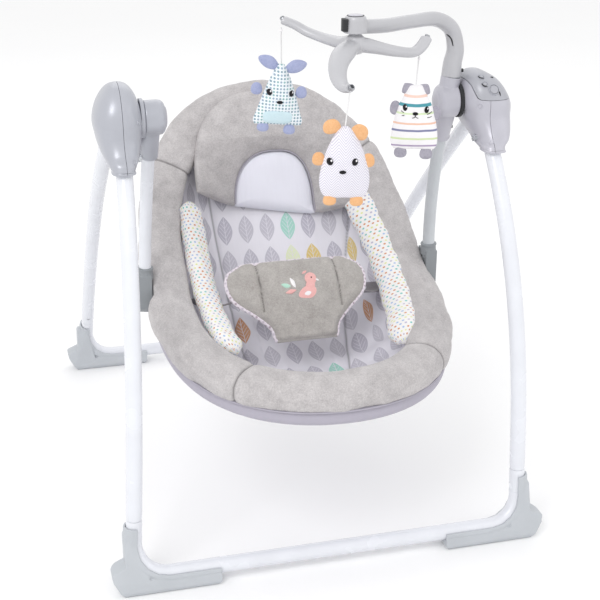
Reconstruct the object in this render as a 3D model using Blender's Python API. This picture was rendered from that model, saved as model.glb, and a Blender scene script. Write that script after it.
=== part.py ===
"""Portable electric baby swing: folding tube frame, swinging seat and toy bar, as separate named pieces.

Metres, +Z up, the swing faces -Y.  All places are given from the point on the floor straight below the
swing's pivot line; the empty named swing_origin carries the whole object so that the world origin is the
middle of the overall footprint.
"""

import math

import bmesh
import bpy
from mathutils import Matrix, Vector

# ---------------------------------------------------------------- driving dimensions
PIVOT_HEIGHT = 0.611          # height of the swing's pivot line
ORIGIN_SHIFT_Y = -0.1628      # puts the world origin in the middle of the footprint
TUBE_RADIUS = 0.011           # 22 mm leg tubes
TUBE_WALL = 0.0012
SPIGOT_RADIUS = 0.0090        # swaged ends of the base bars
BAR_HEIGHT = 0.0225           # centre of the base bars above the floor
CORNER_RADIUS = 0.045         # bend between a leg and its base bar
FRONT_BAR_Y = -0.1785
REAR_BAR_Y = 0.555
JOINT_HEIGHT = 0.106          # where each base bar plugs into its leg
SPIGOT_LENGTH = 0.030
FIT_GAP = 0.0003              # clearance between touching pieces

FOOT_WALL = 0.0032
SADDLE_LIP = 0.0035            # how far a shoe reaches up past the middle of its tube
FOOT_TIP_X = 0.315
TONGUE_END_X = 0.164

LEG_TOP_FRONT = 0.578
LEG_TOP_REAR = 0.588
FOLD_AXIS = (0.0360, 0.578)   # y and z of the fold pins
FOLD_DEGREES = 45.0

HUB_SEAM_X = 0.2518
SHELL_WALL = 0.0022
SHAFT_RADIUS = 0.007
HEAD_RADIUS = 0.0235

ARM_RADIUS = 0.009
ARM_WALL = 0.0011
ARM_END_HEIGHT = 0.352
RECLINE_AXIS = (0.076, 0.334)  # y and z of the seat's recline pins

RIM_HALF_WIDTH = 0.185        # half width of the seat rim's centre line
RIM_CENTRE = (0.026, 0.427)   # y and z of the middle of the rim's side curve
RIM_REACH = (0.242, 0.136)    # from the middle to the head end
RIM_DIP = (0.072, -0.077)     # how far the sides dip below the straight line
RIM_THICK = 0.019             # half thickness of the plush rim
RIM_WIDE = 0.031              # half width of the plush rim's section
SEAT_FRAME_RADIUS = 0.008
SEAT_FRAME_DROP = 0.0285      # seat frame below the rim's centre line
BUCKET_DEPTH = 0.105
BUCKET_WALL = 0.005

HANGER_CENTRE = (0.028, -0.134, 0.722)
HANGER_TILT = 13.0            # the hanger leans forwards
HANGER_TURN = 11.0            # flat direction of its right leg
HANGER_SWIRL = 24.0           # each leg sweeps round on its way out
STRING_RADIUS = 0.0009

LEFT, RIGHT = -1.0, 1.0
SIDES = ((LEFT, "left"), (RIGHT, "right"))

WHITE_PAINT = ("white_paint", (0.86, 0.87, 0.88), 0.30, 0.0)
PALE_PLASTIC = ("pale_grey_plastic", (0.62, 0.63, 0.65), 0.42, 0.0)
SILVER_PLASTIC = ("silver_grey_plastic", (0.50, 0.51, 0.54), 0.36, 0.15)
DARK_PLASTIC = ("dark_grey_plastic", (0.24, 0.25, 0.27), 0.50, 0.0)
CLEAR_PLASTIC = ("clear_plastic", (0.85, 0.86, 0.88), 0.15, 0.0)
STEEL = ("zinc_steel", (0.60, 0.61, 0.62), 0.35, 1.0)
COPPER = ("copper_winding", (0.72, 0.36, 0.18), 0.35, 1.0)
BOARD = ("green_board", (0.05, 0.25, 0.12), 0.50, 0.0)
NYLON = ("nylon", (0.85, 0.84, 0.80), 0.50, 0.0)
PLUSH = ("taupe_plush", (0.45, 0.42, 0.39), 0.95, 0.0)
LINER = ("white_liner", (0.88, 0.87, 0.90), 0.90, 0.0)
DOTS = ("dotted_cotton", (0.88, 0.86, 0.84), 0.90, 0.0)
TOY_BLUE = ("toy_blue", (0.55, 0.65, 0.75), 0.90, 0.0)
TOY_ORANGE = ("toy_orange", (0.80, 0.55, 0.32), 0.90, 0.0)
TOY_STRIPE = ("toy_white", (0.85, 0.83, 0.82), 0.90, 0.0)
CORD = ("white_cord", (0.90, 0.90, 0.90), 0.80, 0.0)


# ---------------------------------------------------------------- scene helpers
def clear_scene():
    """Remove every object that the file starts with."""
    for item in list(bpy.data.objects):
        bpy.data.objects.remove(item, do_unlink=True)


def material(finish):
    """Return the Principled material for a (name, colour, roughness, metallic) finish."""
    name, colour, roughness, metallic = finish
    found = bpy.data.materials.get(name)
    if found:
        return found
    made = bpy.data.materials.new(name)
    made.use_nodes = True
    shader = made.node_tree.nodes["Principled BSDF"]
    shader.inputs["Base Color"].default_value = (*colour, 1.0)
    shader.inputs["Roughness"].default_value = roughness
    shader.inputs["Metallic"].default_value = metallic
    made.diffuse_color = (*colour, 1.0)
    return made


def add_empty(name, place, parent=None):
    """Add an empty at a place in the swing's frame, which carries its own place for its children."""
    empty = bpy.data.objects.new(name, None)
    bpy.context.collection.objects.link(empty)
    empty["place"] = tuple(place)
    if parent is None:
        empty.location = Vector(place) + Vector((0.0, ORIGIN_SHIFT_Y, 0.0))
    else:
        empty.parent = parent
        empty.location = Vector(place) - Vector(parent["place"])
    empty.empty_display_size = 0.03
    return empty


def add_object(name, data, finish, parent, place=None):
    """Add an object whose data is given in the swing's frame, with its origin at place."""
    origin = Vector(place if place is not None else parent["place"])
    if isinstance(data, bpy.types.Mesh):
        data.transform(Matrix.Translation(-origin))
    item = bpy.data.objects.new(name, data)
    bpy.context.collection.objects.link(item)
    item.parent = parent
    item.location = origin - Vector(parent["place"])
    if finish is not None:
        data.materials.append(material(finish))
    return item


def smooth(item, angle=35.0):
    """Shade an object's mesh smooth, keeping edges sharper than the angle."""
    item.data.shade_smooth()
    item.data.set_sharp_from_angle(angle=math.radians(angle))
    return item


def add_cutter(name, mesh, parent):
    """Add a hidden solid that only cuts other pieces."""
    cutter = add_object(name, mesh, None, parent)
    cutter.hide_render = True
    cutter.display_type = "WIRE"
    return cutter


def cut(item, cutter, operation="DIFFERENCE"):
    """Cut an object by another, or join them."""
    step = item.modifiers.new(cutter.name, "BOOLEAN")
    step.operation = operation
    step.object = cutter
    step.solver = "EXACT"


# ---------------------------------------------------------------- shapes
def mesh_from(build):
    """Make a mesh from a function that fills a bmesh, with its faces turned outwards."""
    work = bmesh.new()
    build(work)
    bmesh.ops.recalc_face_normals(work, faces=work.faces)
    mesh = bpy.data.meshes.new("shape")
    work.to_mesh(mesh)
    work.free()
    return mesh


def smooth_path(points, count, closed=False):
    """Read evenly numbered points from a smooth curve through the given ones (Catmull-Rom)."""
    given = [Vector(point) for point in points]
    last = len(given)
    spans = last if closed else last - 1
    result = []
    for step in range(count):
        place = step * spans / (count if closed else count - 1)
        index = min(int(place), spans - 1)
        t = place - index
        if closed:
            a, b, c, d = (given[(index + shift) % last] for shift in (-1, 0, 1, 2))
        else:
            b, c = given[index], given[index + 1]
            a = given[index - 1] if index > 0 else 2 * b - c
            d = given[index + 2] if index + 2 < last else 2 * c - b
        result.append(0.5 * (2 * b + (c - a) * t + (2 * a - 5 * b + 4 * c - d) * t * t
                             + (3 * b - 3 * c + d - a) * t ** 3))
    return result


def cord_curve(path, radius):
    """Make a round bevelled curve with capped ends along a path."""
    curve = bpy.data.curves.new("path", "CURVE")
    curve.dimensions = "3D"
    curve.bevel_depth = radius
    curve.bevel_resolution = 2
    curve.use_fill_caps = True
    curve.twist_mode = "MINIMUM"
    spline = curve.splines.new("POLY")
    spline.points.add(len(path) - 1)
    for index, point in enumerate(path):
        spline.points[index].co = (*point, 1.0)
    spline.use_smooth = True
    return curve


def hull_mesh(points):
    """Make the convex solid around a set of points."""
    def build(work):
        for point in points:
            work.verts.new(point)
        made = bmesh.ops.convex_hull(work, input=work.verts)
        spare = [item for item in made["geom_interior"] if isinstance(item, bmesh.types.BMVert)]
        bmesh.ops.delete(work, geom=spare, context="VERTS")
        bmesh.ops.dissolve_limit(work, angle_limit=0.01, verts=work.verts, edges=work.edges)
    return mesh_from(build)


def ring(centre, across, up, half_across, half_up, count=12):
    """List the points of an ellipse about a centre."""
    centre, across, up = Vector(centre), Vector(across), Vector(up)
    angles = [2 * math.pi * index / count for index in range(count)]
    return [centre + across * half_across * math.cos(a) + up * half_up * math.sin(a) for a in angles]


def loft_mesh(rings):
    """Skin a row of rings that have the same number of points, and close both ends."""
    def build(work):
        rows = [[work.verts.new(point) for point in line] for line in rings]
        size = len(rows[0])
        for low, high in zip(rows, rows[1:]):
            for index in range(size):
                after = (index + 1) % size
                work.faces.new((low[index], low[after], high[after], high[index]))
        work.faces.new(rows[0])
        work.faces.new(rows[-1])
    return mesh_from(build)


def loop_mesh(rings):
    """Skin a closed row of rings into a ring-shaped solid."""
    def build(work):
        rows = [[work.verts.new(point) for point in line] for line in rings]
        size = len(rows[0])
        for row, line in enumerate(rows):
            beyond = rows[(row + 1) % len(rows)]
            for index in range(size):
                after = (index + 1) % size
                work.faces.new((line[index], line[after], beyond[after], beyond[index]))
    return mesh_from(build)


def cylinder_mesh(start, end, radius, sides=16, end_radius=None):
    """Make a round bar or a cone between two points."""
    start, end = Vector(start), Vector(end)
    axis = (end - start).normalized()
    across = axis.orthogonal().normalized()
    up = axis.cross(across)
    far = radius if end_radius is None else end_radius
    return loft_mesh([ring(start, across, up, radius, radius, sides),
                      ring(end, across, up, far, far, sides)])


def box_mesh(low, high, bevel=0.0):
    """Make a box between two corners, with its edges rounded when bevel is given."""
    low, high = Vector(low), Vector(high)

    def build(work):
        bmesh.ops.create_cube(work, size=1.0)
        bmesh.ops.scale(work, vec=high - low, verts=work.verts)
        bmesh.ops.translate(work, vec=(low + high) / 2, verts=work.verts)
        if bevel:
            bmesh.ops.bevel(work, geom=work.edges, offset=bevel, segments=2, profile=0.5, affect="EDGES")
    return mesh_from(build)


def tube_rings(path, radii, sides=10, up=(0.0, 1.0, 0.0), flat=1.0):
    """Put a ring across a path at each of its points; flat squashes the rings along the carried up axis."""
    points = [Vector(point) for point in path]
    carried = Vector(up)
    rings = []
    for index, point in enumerate(points):
        before = points[max(index - 1, 0)]
        after = points[min(index + 1, len(points) - 1)]
        along = (after - before).normalized()
        carried = (carried - along * carried.dot(along)).normalized()
        across = along.cross(carried)
        radius = radii[index] if isinstance(radii, (list, tuple)) else radii
        rings.append(ring(point, across, carried, radius, radius * flat, sides))
    return rings


def pipe_mesh(path, radii, wall, sides=10, up=(0.0, 1.0, 0.0)):
    """Make an open-ended tube with a wall along a path."""
    outer_radii = radii if isinstance(radii, (list, tuple)) else [radii] * len(path)
    inner_radii = [radius - wall for radius in outer_radii]
    outer = tube_rings(path, outer_radii, sides, up)
    inner = tube_rings(path, inner_radii, sides, up)
    return loop_mesh(outer + inner[::-1])


def clear_radius(radius, sides=10):
    """Size a bore of few sides so that a round bar of the same few sides turns in it."""
    return (radius + FIT_GAP) / math.cos(math.pi / sides)


def mirrored(place, side):
    """Give a place on one side of the swing from its place on the right."""
    return (side * place[0], place[1], place[2])


# ---------------------------------------------------------------- base frame
def front_leg_at(height):
    """Centre of the right front leg at a height; it bows forwards as it goes down."""
    bow = max(height - 0.13, 0.0) / 0.45
    return Vector((0.2834 - 0.0528 * height, -0.1665 + 0.13 * bow ** 2.6, height))


def rear_leg_at(height):
    """Centre of the right rear leg at a height; it reaches back and steepens towards the floor."""
    drop = 0.59 - height
    inset = 0.006 * (max(height - 0.40, 0.0) / 0.19) ** 2
    return Vector((0.2753 - 0.0125 * height - inset, 0.02 + 1.338 * drop - 0.6 * drop * drop, height))


def corner_path(leg_at, bar_y, top, steps=4):
    """Follow the right side of a base bar from a height on the leg, round the corner, onto the bar."""
    bend_top = BAR_HEIGHT + CORNER_RADIUS
    start = leg_at(bend_top)
    points = [leg_at(top)]
    if top > JOINT_HEIGHT:
        points += [leg_at(JOINT_HEIGHT + 0.0005), leg_at(JOINT_HEIGHT - 0.0005)]
    for step in range(steps + 1):
        turn = math.pi / 2 * step / steps
        points.append(Vector((start.x - CORNER_RADIUS * (1 - math.cos(turn)),
                              start.y + (bar_y - start.y) * math.sin(turn),
                              bend_top - CORNER_RADIUS * math.sin(turn))))
    return points


def base_bar(name, leg_at, bar_y, parent):
    """Add a U-shaped base bar whose swaged ends plug up into the legs."""
    right = corner_path(leg_at, bar_y, JOINT_HEIGHT + SPIGOT_LENGTH)
    left = [Vector(mirrored(point, LEFT)) for point in right]
    path = left + right[::-1]
    radii = [SPIGOT_RADIUS] * 2 + [TUBE_RADIUS] * (len(path) - 4) + [SPIGOT_RADIUS] * 2
    bar = add_object(name, pipe_mesh(path, radii, TUBE_WALL), WHITE_PAINT, parent)
    return smooth(bar)


def leg(name, leg_at, top, side, parent):
    """Add an upper leg tube from its joint with the base bar up into the hub."""
    count = 9
    heights = [JOINT_HEIGHT + 0.0008 + (top - JOINT_HEIGHT) * step / count for step in range(count + 1)]
    path = [mirrored(leg_at(height), side) for height in heights]
    tube = add_object(name, pipe_mesh(path, TUBE_RADIUS, TUBE_WALL), WHITE_PAINT, parent)
    return smooth(tube)


def open_side_mesh(leg_at, bar_y, side):
    """Make the room on the inner side of a base corner, where the tube shows above its shoe."""
    path = corner_path(leg_at, bar_y, 0.115) + [Vector((TONGUE_END_X - 0.03, bar_y, BAR_HEIGHT))]
    rings = []
    for index, point in enumerate(path):
        along = (path[min(index + 1, len(path) - 1)] - path[max(index - 1, 0)]).normalized()
        inward = Vector((along.z, 0.0, -along.x))
        wide = Vector((0.0, 0.030, 0.0))
        low, high = point + inward * SADDLE_LIP, point + inward * 0.033
        rings.append([mirrored(corner, side) for corner in (low - wide, low + wide, high + wide, high - wide)])
    return loft_mesh(rings)


def foot(name, leg_at, bar_y, side, parent):
    """Add a corner shoe: a saddle outside the bend, a flat sole under the bar and a toe that points out."""
    sleeve_path = corner_path(leg_at, bar_y, 0.097)
    sleeve_path.append(Vector((TONGUE_END_X, bar_y, BAR_HEIGHT)))
    bore_path = corner_path(leg_at, bar_y, 0.1055) + [Vector((TONGUE_END_X - 0.02, bar_y, BAR_HEIGHT))]
    leg_y = leg_at(BAR_HEIGHT + CORNER_RADIUS).y
    upper_y = leg_at(0.088).y
    sole = ((TONGUE_END_X + 0.004, 0.0125, 0.0), (0.297, 0.0125, 0.0), (TONGUE_END_X, 0.0155, 0.005),
            (0.303, 0.0155, 0.007), (TONGUE_END_X, 0.0145, 0.017), (0.312, 0.0130, 0.024))
    toe = ((0.272, bar_y, 0.0125, 0.0), (0.297, bar_y, 0.0125, 0.0), (0.303, bar_y, 0.0155, 0.007),
           (0.262, bar_y, 0.0145, 0.017), (0.312, bar_y, 0.0130, 0.024), (FOOT_TIP_X, bar_y, 0.0080, 0.040),
           (0.309, leg_y, 0.0100, 0.056), (0.292, upper_y, 0.0080, 0.088), (0.276, upper_y, 0.0110, 0.084))
    sole_points = [mirrored((x, bar_y + way * half, z), side) for x, half, z in sole for way in (-1, 1)]
    toe_points = [mirrored((x, y + way * half, z), side) for x, y, half, z in toe for way in (-1, 1)]
    shoe = add_object(name, hull_mesh(toe_points), PALE_PLASTIC, parent)
    cut(shoe, add_cutter(name + "_sole", hull_mesh(sole_points), parent), "UNION")
    sleeve = [mirrored(point, side) for point in sleeve_path]
    bore = [mirrored(point, side) for point in bore_path]
    outer = loft_mesh(tube_rings(sleeve, TUBE_RADIUS + FOOT_WALL + 0.0008))
    inner = loft_mesh(tube_rings(bore, clear_radius(TUBE_RADIUS)))
    cut(shoe, add_cutter(name + "_sleeve", outer, parent), "UNION")
    cut(shoe, add_cutter(name + "_bore", inner, parent))
    cut(shoe, add_cutter(name + "_open_side", open_side_mesh(leg_at, bar_y, side), parent))
    return smooth(shoe)


def snap_button(name, tube, spigot, leg_at, facing, side, parent):
    """Add the sprung button that locks a leg to its base bar, and drill both tubes for it."""
    centre = Vector(mirrored(leg_at(JOINT_HEIGHT + 0.014), side))
    out = Vector((0.0, facing, 0.0))
    start = centre + out * 0.004
    mesh = cylinder_mesh(start, centre + out * 0.0135, 0.0030, 8)
    hole = cylinder_mesh(centre + out * 0.002, centre + out * 0.020, 0.0037, 8)
    cutter = add_cutter(name + "_hole", hole, parent)
    cut(tube, cutter)
    cut(spigot, cutter)
    return add_object(name, mesh, STEEL, parent, centre)


# ---------------------------------------------------------------- hubs
LEFT_HUB_LEVELS = [(0.6595, 0.000, 0.009, 0.2520, 0.0050), (0.6555, 0.000, 0.022, 0.2522, 0.0124),
                   (0.6460, 0.000, 0.0355, 0.2527, 0.0219), (0.6300, 0.000, 0.0455, 0.2539, 0.0287),
                   (0.6110, 0.000, 0.0495, 0.2545, 0.0320), (0.5930, 0.001, 0.0515, 0.2540, 0.0301),
                   (0.5765, -0.003, 0.0545, 0.2535, 0.0268), (0.5668, -0.021, 0.0465, 0.2540, 0.0218),
                   (0.5610, -0.040, 0.0300, 0.2545, 0.0178), (0.5550, -0.0545, 0.0185, 0.2548, 0.0148)]
RIGHT_HUB_LEVELS = [(0.6535, 0.000, 0.009, 0.2455, 0.0045), (0.6500, 0.000, 0.023, 0.2472, 0.0124),
                    (0.6420, 0.000, 0.0365, 0.2504, 0.0226), (0.6290, 0.000, 0.0460, 0.2541, 0.0299),
                    (0.6110, 0.000, 0.0495, 0.2578, 0.0353), (0.5930, 0.001, 0.0515, 0.2605, 0.0330),
                    (0.5765, -0.005, 0.0545, 0.2628, 0.0278), (0.5650, -0.024, 0.0440, 0.2613, 0.0218),
                    (0.5585, -0.042, 0.0300, 0.2562, 0.0182), (0.5520, -0.0575, 0.0180, 0.2552, 0.0157)]


def hub_levels(side):
    """List the hub's level sections: height, middle y, half depth, middle x and half width."""
    return RIGHT_HUB_LEVELS if side == RIGHT else LEFT_HUB_LEVELS


def hub_section(level, side, count=18):
    """Give one rounded-rectangle section of a hub."""
    height, middle_y, half_depth, middle_x, half_width = level
    points = []
    for index in range(count):
        turn = 2 * math.pi * index / count
        bulge = (abs(math.cos(turn)) ** 2.7 + abs(math.sin(turn)) ** 2.7) ** (-1 / 2.7)
        points.append(Vector((side * (middle_x + half_width * bulge * math.cos(turn)),
                              middle_y + half_depth * bulge * math.sin(turn), height)))
    return points


def hub_skin(name, side, finish, parent):
    """Add the hub's whole hollow skin, which a shell keeps one region of."""
    rings = [hub_section(level, side) for level in hub_levels(side)]
    skin = add_object(name, loft_mesh(rings), finish, parent)
    walls = skin.modifiers.new("wall", "SOLIDIFY")
    walls.thickness = SHELL_WALL
    walls.offset = -1.0
    return skin


def keep(item, low, high, side, parent):
    """Keep only the part of an object that lies in a box given for the right side."""
    corners = (mirrored(low, side), mirrored(high, side))
    box_low = [min(pair) for pair in zip(*corners)]
    box_high = [max(pair) for pair in zip(*corners)]
    cut(item, add_cutter(item.name + "_region", box_mesh(box_low, box_high), parent), "INTERSECT")


def fold_slot_mesh(side):
    """Make the fan-shaped room that a rear leg's top sweeps through as the frame folds."""
    pivot = Vector((0.0, *FOLD_AXIS))
    inside, outside = 0.2490, 0.2768
    open_turn = math.radians(-58.0)
    points = []
    for x in (side * inside, side * outside):
        for step in range(5):
            turn = open_turn + math.radians(FOLD_DEGREES + 18.0) * step / 4
            way = Vector((0.0, -math.sin(turn), -math.cos(turn)))
            points.append(Vector((x, 0.0, 0.0)) + pivot + way * 0.075)
        for offset in ((-0.0135, 0.004), (-0.0095, 0.0105), (0.004, 0.0135)):
            points.append(Vector((x, pivot.y + offset[0], pivot.z + offset[1])))
    return hull_mesh(points)


def hub(side, label, parent):
    """Add a hub's outer and inner shells, with openings for the legs, the shaft and the fold."""
    finish = SILVER_PLASTIC
    outer = hub_skin(label + "_hub_outer_shell", side, finish, parent)
    inner = hub_skin(label + "_hub_inner_shell", side, finish, parent)
    keep(outer, (HUB_SEAM_X + FIT_GAP, -0.2, 0.4), (0.4, 0.2, 0.8), side, parent)
    keep(inner, (0.1, -0.2, 0.4), (HUB_SEAM_X, 0.2, 0.8), side, parent)
    leg_bore = [mirrored(front_leg_at(height), side) for height in (0.515, 0.53, 0.545, 0.56, 0.582)]
    bore = add_cutter(label + "_leg_bore", loft_mesh(tube_rings(leg_bore, clear_radius(TUBE_RADIUS))),
                      parent)
    slot = add_cutter(label + "_fold_slot", fold_slot_mesh(side), parent)
    shaft_hole = cylinder_mesh(mirrored((0.215, 0, PIVOT_HEIGHT), side),
                               mirrored((0.240, 0, PIVOT_HEIGHT), side), 0.0114, 16)
    for shell in (outer, inner):
        cut(shell, bore)
        cut(shell, slot)
        smooth(shell)
    cut(inner, add_cutter(label + "_shaft_hole", shaft_hole, parent))
    return outer, inner


def pivot_bush(side, label, parent):
    """Add the nylon bush that carries a pivot shaft in the inner shell."""
    ends = [mirrored((x, 0.0, PIVOT_HEIGHT), side) for x in (0.2222, 0.2335)]
    bush = add_object(label + "_pivot_bush", pipe_mesh(ends, 0.0108, 0.0034, 16), NYLON, parent)
    return smooth(bush)


RELEASE_SPOTS = {LEFT: (0.2285, 0.2375, -0.034, 0.5655), RIGHT: (0.2345, 0.2400, -0.034, 0.5635)}


def release_button(side, label, inner_shell, parent):
    """Add the clear button that frees the fold, low on the hub's inner face beside the leg."""
    near, far, middle_y, height = RELEASE_SPOTS[side]
    centre, end, hole_start, hole_end = [Vector(mirrored((x, middle_y, height), side))
                                         for x in (near, far, 0.2200, 0.2435)]
    hole = cylinder_mesh(hole_start, hole_end, 0.0053, 12)
    cut(inner_shell, add_cutter(label + "_release_hole", hole, parent))
    button = add_object(label + "_fold_release_button", cylinder_mesh(centre, end, 0.0045, 12),
                        CLEAR_PLASTIC, parent, centre)
    return smooth(button)


def fold_pin(side, label, tube, parent):
    """Add the pin that a rear leg folds on, through the top of its tube."""
    start = mirrored((0.2492, *FOLD_AXIS), side)
    end = mirrored((0.2740, *FOLD_AXIS), side)
    wide = [mirrored((x, *FOLD_AXIS), side) for x in (0.240, 0.290)]
    cut(tube, add_cutter(label + "_fold_pin_hole", cylinder_mesh(*wide, 0.0039, 10), parent))
    return smooth(add_object(label + "_fold_pin", cylinder_mesh(start, end, 0.0032, 10), STEEL, parent))


PANEL_SPOTS = (("timer_button", (0.2571, -0.0441, 0.6327), (0.048, -0.857, 0.514), 0.0062),
               ("power_button", (0.2441, -0.0280, 0.6475), (-0.082, -0.466, 0.881), 0.0030),
               ("music_button", (0.2454, -0.0388, 0.6394), (-0.104, -0.738, 0.667), 0.0030))


def control_panel(outer, inner, root):
    """Add the motor hub's lid, cut out of both shells, and the buttons that pass through it."""
    low, high = (0.2330, -0.2, 0.6180), (0.4, 0.2, 0.8)
    lid = hub_skin("control_panel_lid", RIGHT, PALE_PLASTIC, root)
    keep(lid, low, high, RIGHT, root)
    grown = [value - FIT_GAP for value in low]
    notch = add_cutter("lid_notch", box_mesh(grown, high), root)
    cut(outer, notch)
    cut(inner, notch)
    for name, spot, direction, radius in PANEL_SPOTS:
        point, normal = Vector(spot), Vector(direction).normalized()
        hole = cylinder_mesh(point - normal * 0.012, point + normal * 0.012, radius + 0.0006, 12)
        cut(lid, add_cutter(name + "_hole", hole, root))
        button = cylinder_mesh(point - normal * 0.0055, point + normal * 0.0016, radius, 12)
        smooth(add_object(name, button, SILVER_PLASTIC, root, point))
    smooth(lid)


def drive(root, swing):
    """Add what the motor hub holds: circuit board, drive coil and the magnet on the shaft."""
    add_object("circuit_board", box_mesh((0.2400, -0.024, 0.6215), (0.2800, 0.024, 0.6231)), BOARD, root)
    add_object("drive_coil", box_mesh((0.2425, -0.0095, 0.5690), (0.2560, 0.0095, 0.5795), 0.002),
               COPPER, root)
    add_object("drive_magnet", box_mesh((0.2430, -0.0055, 0.5830), (0.2500, 0.0055, 0.6033), 0.001),
               STEEL, swing)


# ---------------------------------------------------------------- swinging arms
SOCKET_START = (0.2100, 0.0060, 0.5950)
SOCKET_END = (0.2106, 0.0275, 0.5520)
BAR_ROOT = (0.2112, 0.0, 0.6447)


def arm_at(height):
    """Centre of the right hanger arm at a height; it curves back towards the seat's middle."""
    drop = PIVOT_HEIGHT - height
    return Vector((0.2093 + 0.036 * drop, 0.54 * drop - 1.006 * drop * drop - 0.0005, height))


def pivot_head(side, label, swing):
    """Add the head that turns on the hub: a domed barrel with a socket for the arm below."""
    sections = ((0.2205, HEAD_RADIUS), (0.2000, HEAD_RADIUS), (0.1935, 0.0212), (0.1905, 0.0150))
    barrel = loft_mesh([ring((side * x, 0, PIVOT_HEIGHT), (0, 1, 0), (0, 0, 1), radius, radius, 18)
                        for x, radius in sections])
    head = add_object(label + "_pivot_head", barrel, SILVER_PLASTIC, swing)
    socket = cylinder_mesh(mirrored(SOCKET_START, side), mirrored(SOCKET_END, side), 0.0130, 16, 0.0122)
    cut(head, add_cutter(label + "_arm_socket", socket, swing), "UNION")
    if side == RIGHT:
        x, y, z = BAR_ROOT
        upper = cylinder_mesh((0.2065, y, PIVOT_HEIGHT + 0.004), (x + 0.0005, y, z + 0.003),
                              0.0138, 16, 0.0140)
        cut(head, add_cutter("toy_bar_socket", upper, swing), "UNION")
        above = box_mesh((x - 0.03, y - 0.03, z - FIT_GAP), (x + 0.03, y + 0.03, z + 0.02))
        cut(head, add_cutter("toy_bar_socket_face", above, swing))
        down = (BAR_ROOT[0], 0.0, BAR_ROOT[2] - 0.0215)
        well = cylinder_mesh(down, (BAR_ROOT[0], 0.0, BAR_ROOT[2] + 0.01), 0.0106, 16)
        cut(head, add_cutter("toy_bar_well", well, swing))
    shaft_bore = cylinder_mesh((side * 0.1980, 0, PIVOT_HEIGHT), (side * 0.2300, 0, PIVOT_HEIGHT), 0.0076, 16)
    cut(head, add_cutter(label + "_shaft_bore", shaft_bore, swing))
    arm_bore = [mirrored(arm_at(height), side) for height in (0.5865, 0.575, 0.565, 0.555, 0.540)]
    bore = loft_mesh(tube_rings(arm_bore, clear_radius(ARM_RADIUS)))
    cut(head, add_cutter(label + "_arm_bore", bore, swing))
    return smooth(head)


def pivot_shaft(side, label, swing):
    """Add the steel shaft that joins a head to its hub."""
    start, end = mirrored((0.1985, 0, PIVOT_HEIGHT), side), mirrored((0.2620, 0, PIVOT_HEIGHT), side)
    return smooth(add_object(label + "_pivot_shaft", cylinder_mesh(start, end, SHAFT_RADIUS, 16), STEEL, swing))


def hanger_arm(side, label, finish, swing):
    """Add an arm tube from its socket down to the seat bracket."""
    top, bottom = 0.5855, ARM_END_HEIGHT
    path = [mirrored(arm_at(top + (bottom - top) * step / 8), side) for step in range(9)]
    arm = add_object(label + "_hanger_arm", pipe_mesh(path, ARM_RADIUS, ARM_WALL), finish, swing)
    return smooth(arm)


def arm_snap_button(side, label, head, arm, swing):
    """Add the sprung button that locks an arm in its socket; it faces away from the seat."""
    centre = Vector(mirrored(arm_at(0.5680), side))
    out = Vector((side, 0.0, 0.0))
    hole = cylinder_mesh(centre + out * 0.003, centre + out * 0.020, 0.0034, 8)
    cutter = add_cutter(label + "_arm_button_hole", hole, swing)
    cut(head, cutter)
    cut(arm, cutter)
    button = cylinder_mesh(centre + out * 0.0045, centre + out * 0.0146, 0.0027, 8)
    return add_object(label + "_arm_snap_button", button, DARK_PLASTIC, swing, centre)


def seat_bracket(side, label, swing):
    """Add the bracket on an arm's lower end, with the eye that the seat reclines in."""
    y, z = RECLINE_AXIS
    inside, outside = 0.2098, 0.2290
    outline = []
    for x in (inside, outside):
        inset = 0.0 if x == inside else 0.003
        for py, pz in ((y - 0.018 + inset, z - 0.020), (y - 0.008, z - 0.030 + inset),
                       (y + 0.010, z - 0.030 + inset), (y + 0.019 - inset, z - 0.018),
                       (y + 0.017 - inset, z + 0.030), (y - 0.018 + inset, z + 0.030)):
            outline.append(mirrored((x, py, pz), side))
    bracket = add_object(label + "_seat_bracket", hull_mesh(outline), DARK_PLASTIC, swing)
    cup = cylinder_mesh(mirrored(arm_at(0.357), side), mirrored(arm_at(0.374), side), 0.0124, 14, 0.0112)
    cut(bracket, add_cutter(label + "_arm_cup", cup, swing), "UNION")
    bore_path = [mirrored(arm_at(height), side) for height in (0.3505, 0.365, 0.385)]
    bore = loft_mesh(tube_rings(bore_path, clear_radius(ARM_RADIUS)))
    cut(bracket, add_cutter(label + "_cup_bore", bore, swing))
    eye = cylinder_mesh((side * 0.205, y, z), (side * 0.2215, y, z), 0.0069, 14)
    cut(bracket, add_cutter(label + "_recline_eye", eye, swing))
    return smooth(bracket)


# ---------------------------------------------------------------- seat
def seat_side(s):
    """Give y and z of the seat's side curve; s runs from -1 at the foot to 1 at the head."""
    return (RIM_CENTRE[0] + RIM_REACH[0] * s + RIM_DIP[0] * (1 - s * s),
            RIM_CENTRE[1] + RIM_REACH[1] * s + RIM_DIP[1] * (1 - s * s))


def seat_normal(s):
    """Give the direction that faces out of the seat, square to its side curve."""
    along_y = RIM_REACH[0] - 2 * RIM_DIP[0] * s
    along_z = RIM_REACH[1] - 2 * RIM_DIP[1] * s
    return Vector((0.0, -along_z, along_y)).normalized()


def seat_half_width(s):
    """Give the half width of the rim's centre line."""
    return RIM_HALF_WIDTH * (1 - min(abs(s), 1.0) ** 3) ** (1 / 2.1) * (1 - 0.044 * s)


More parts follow.
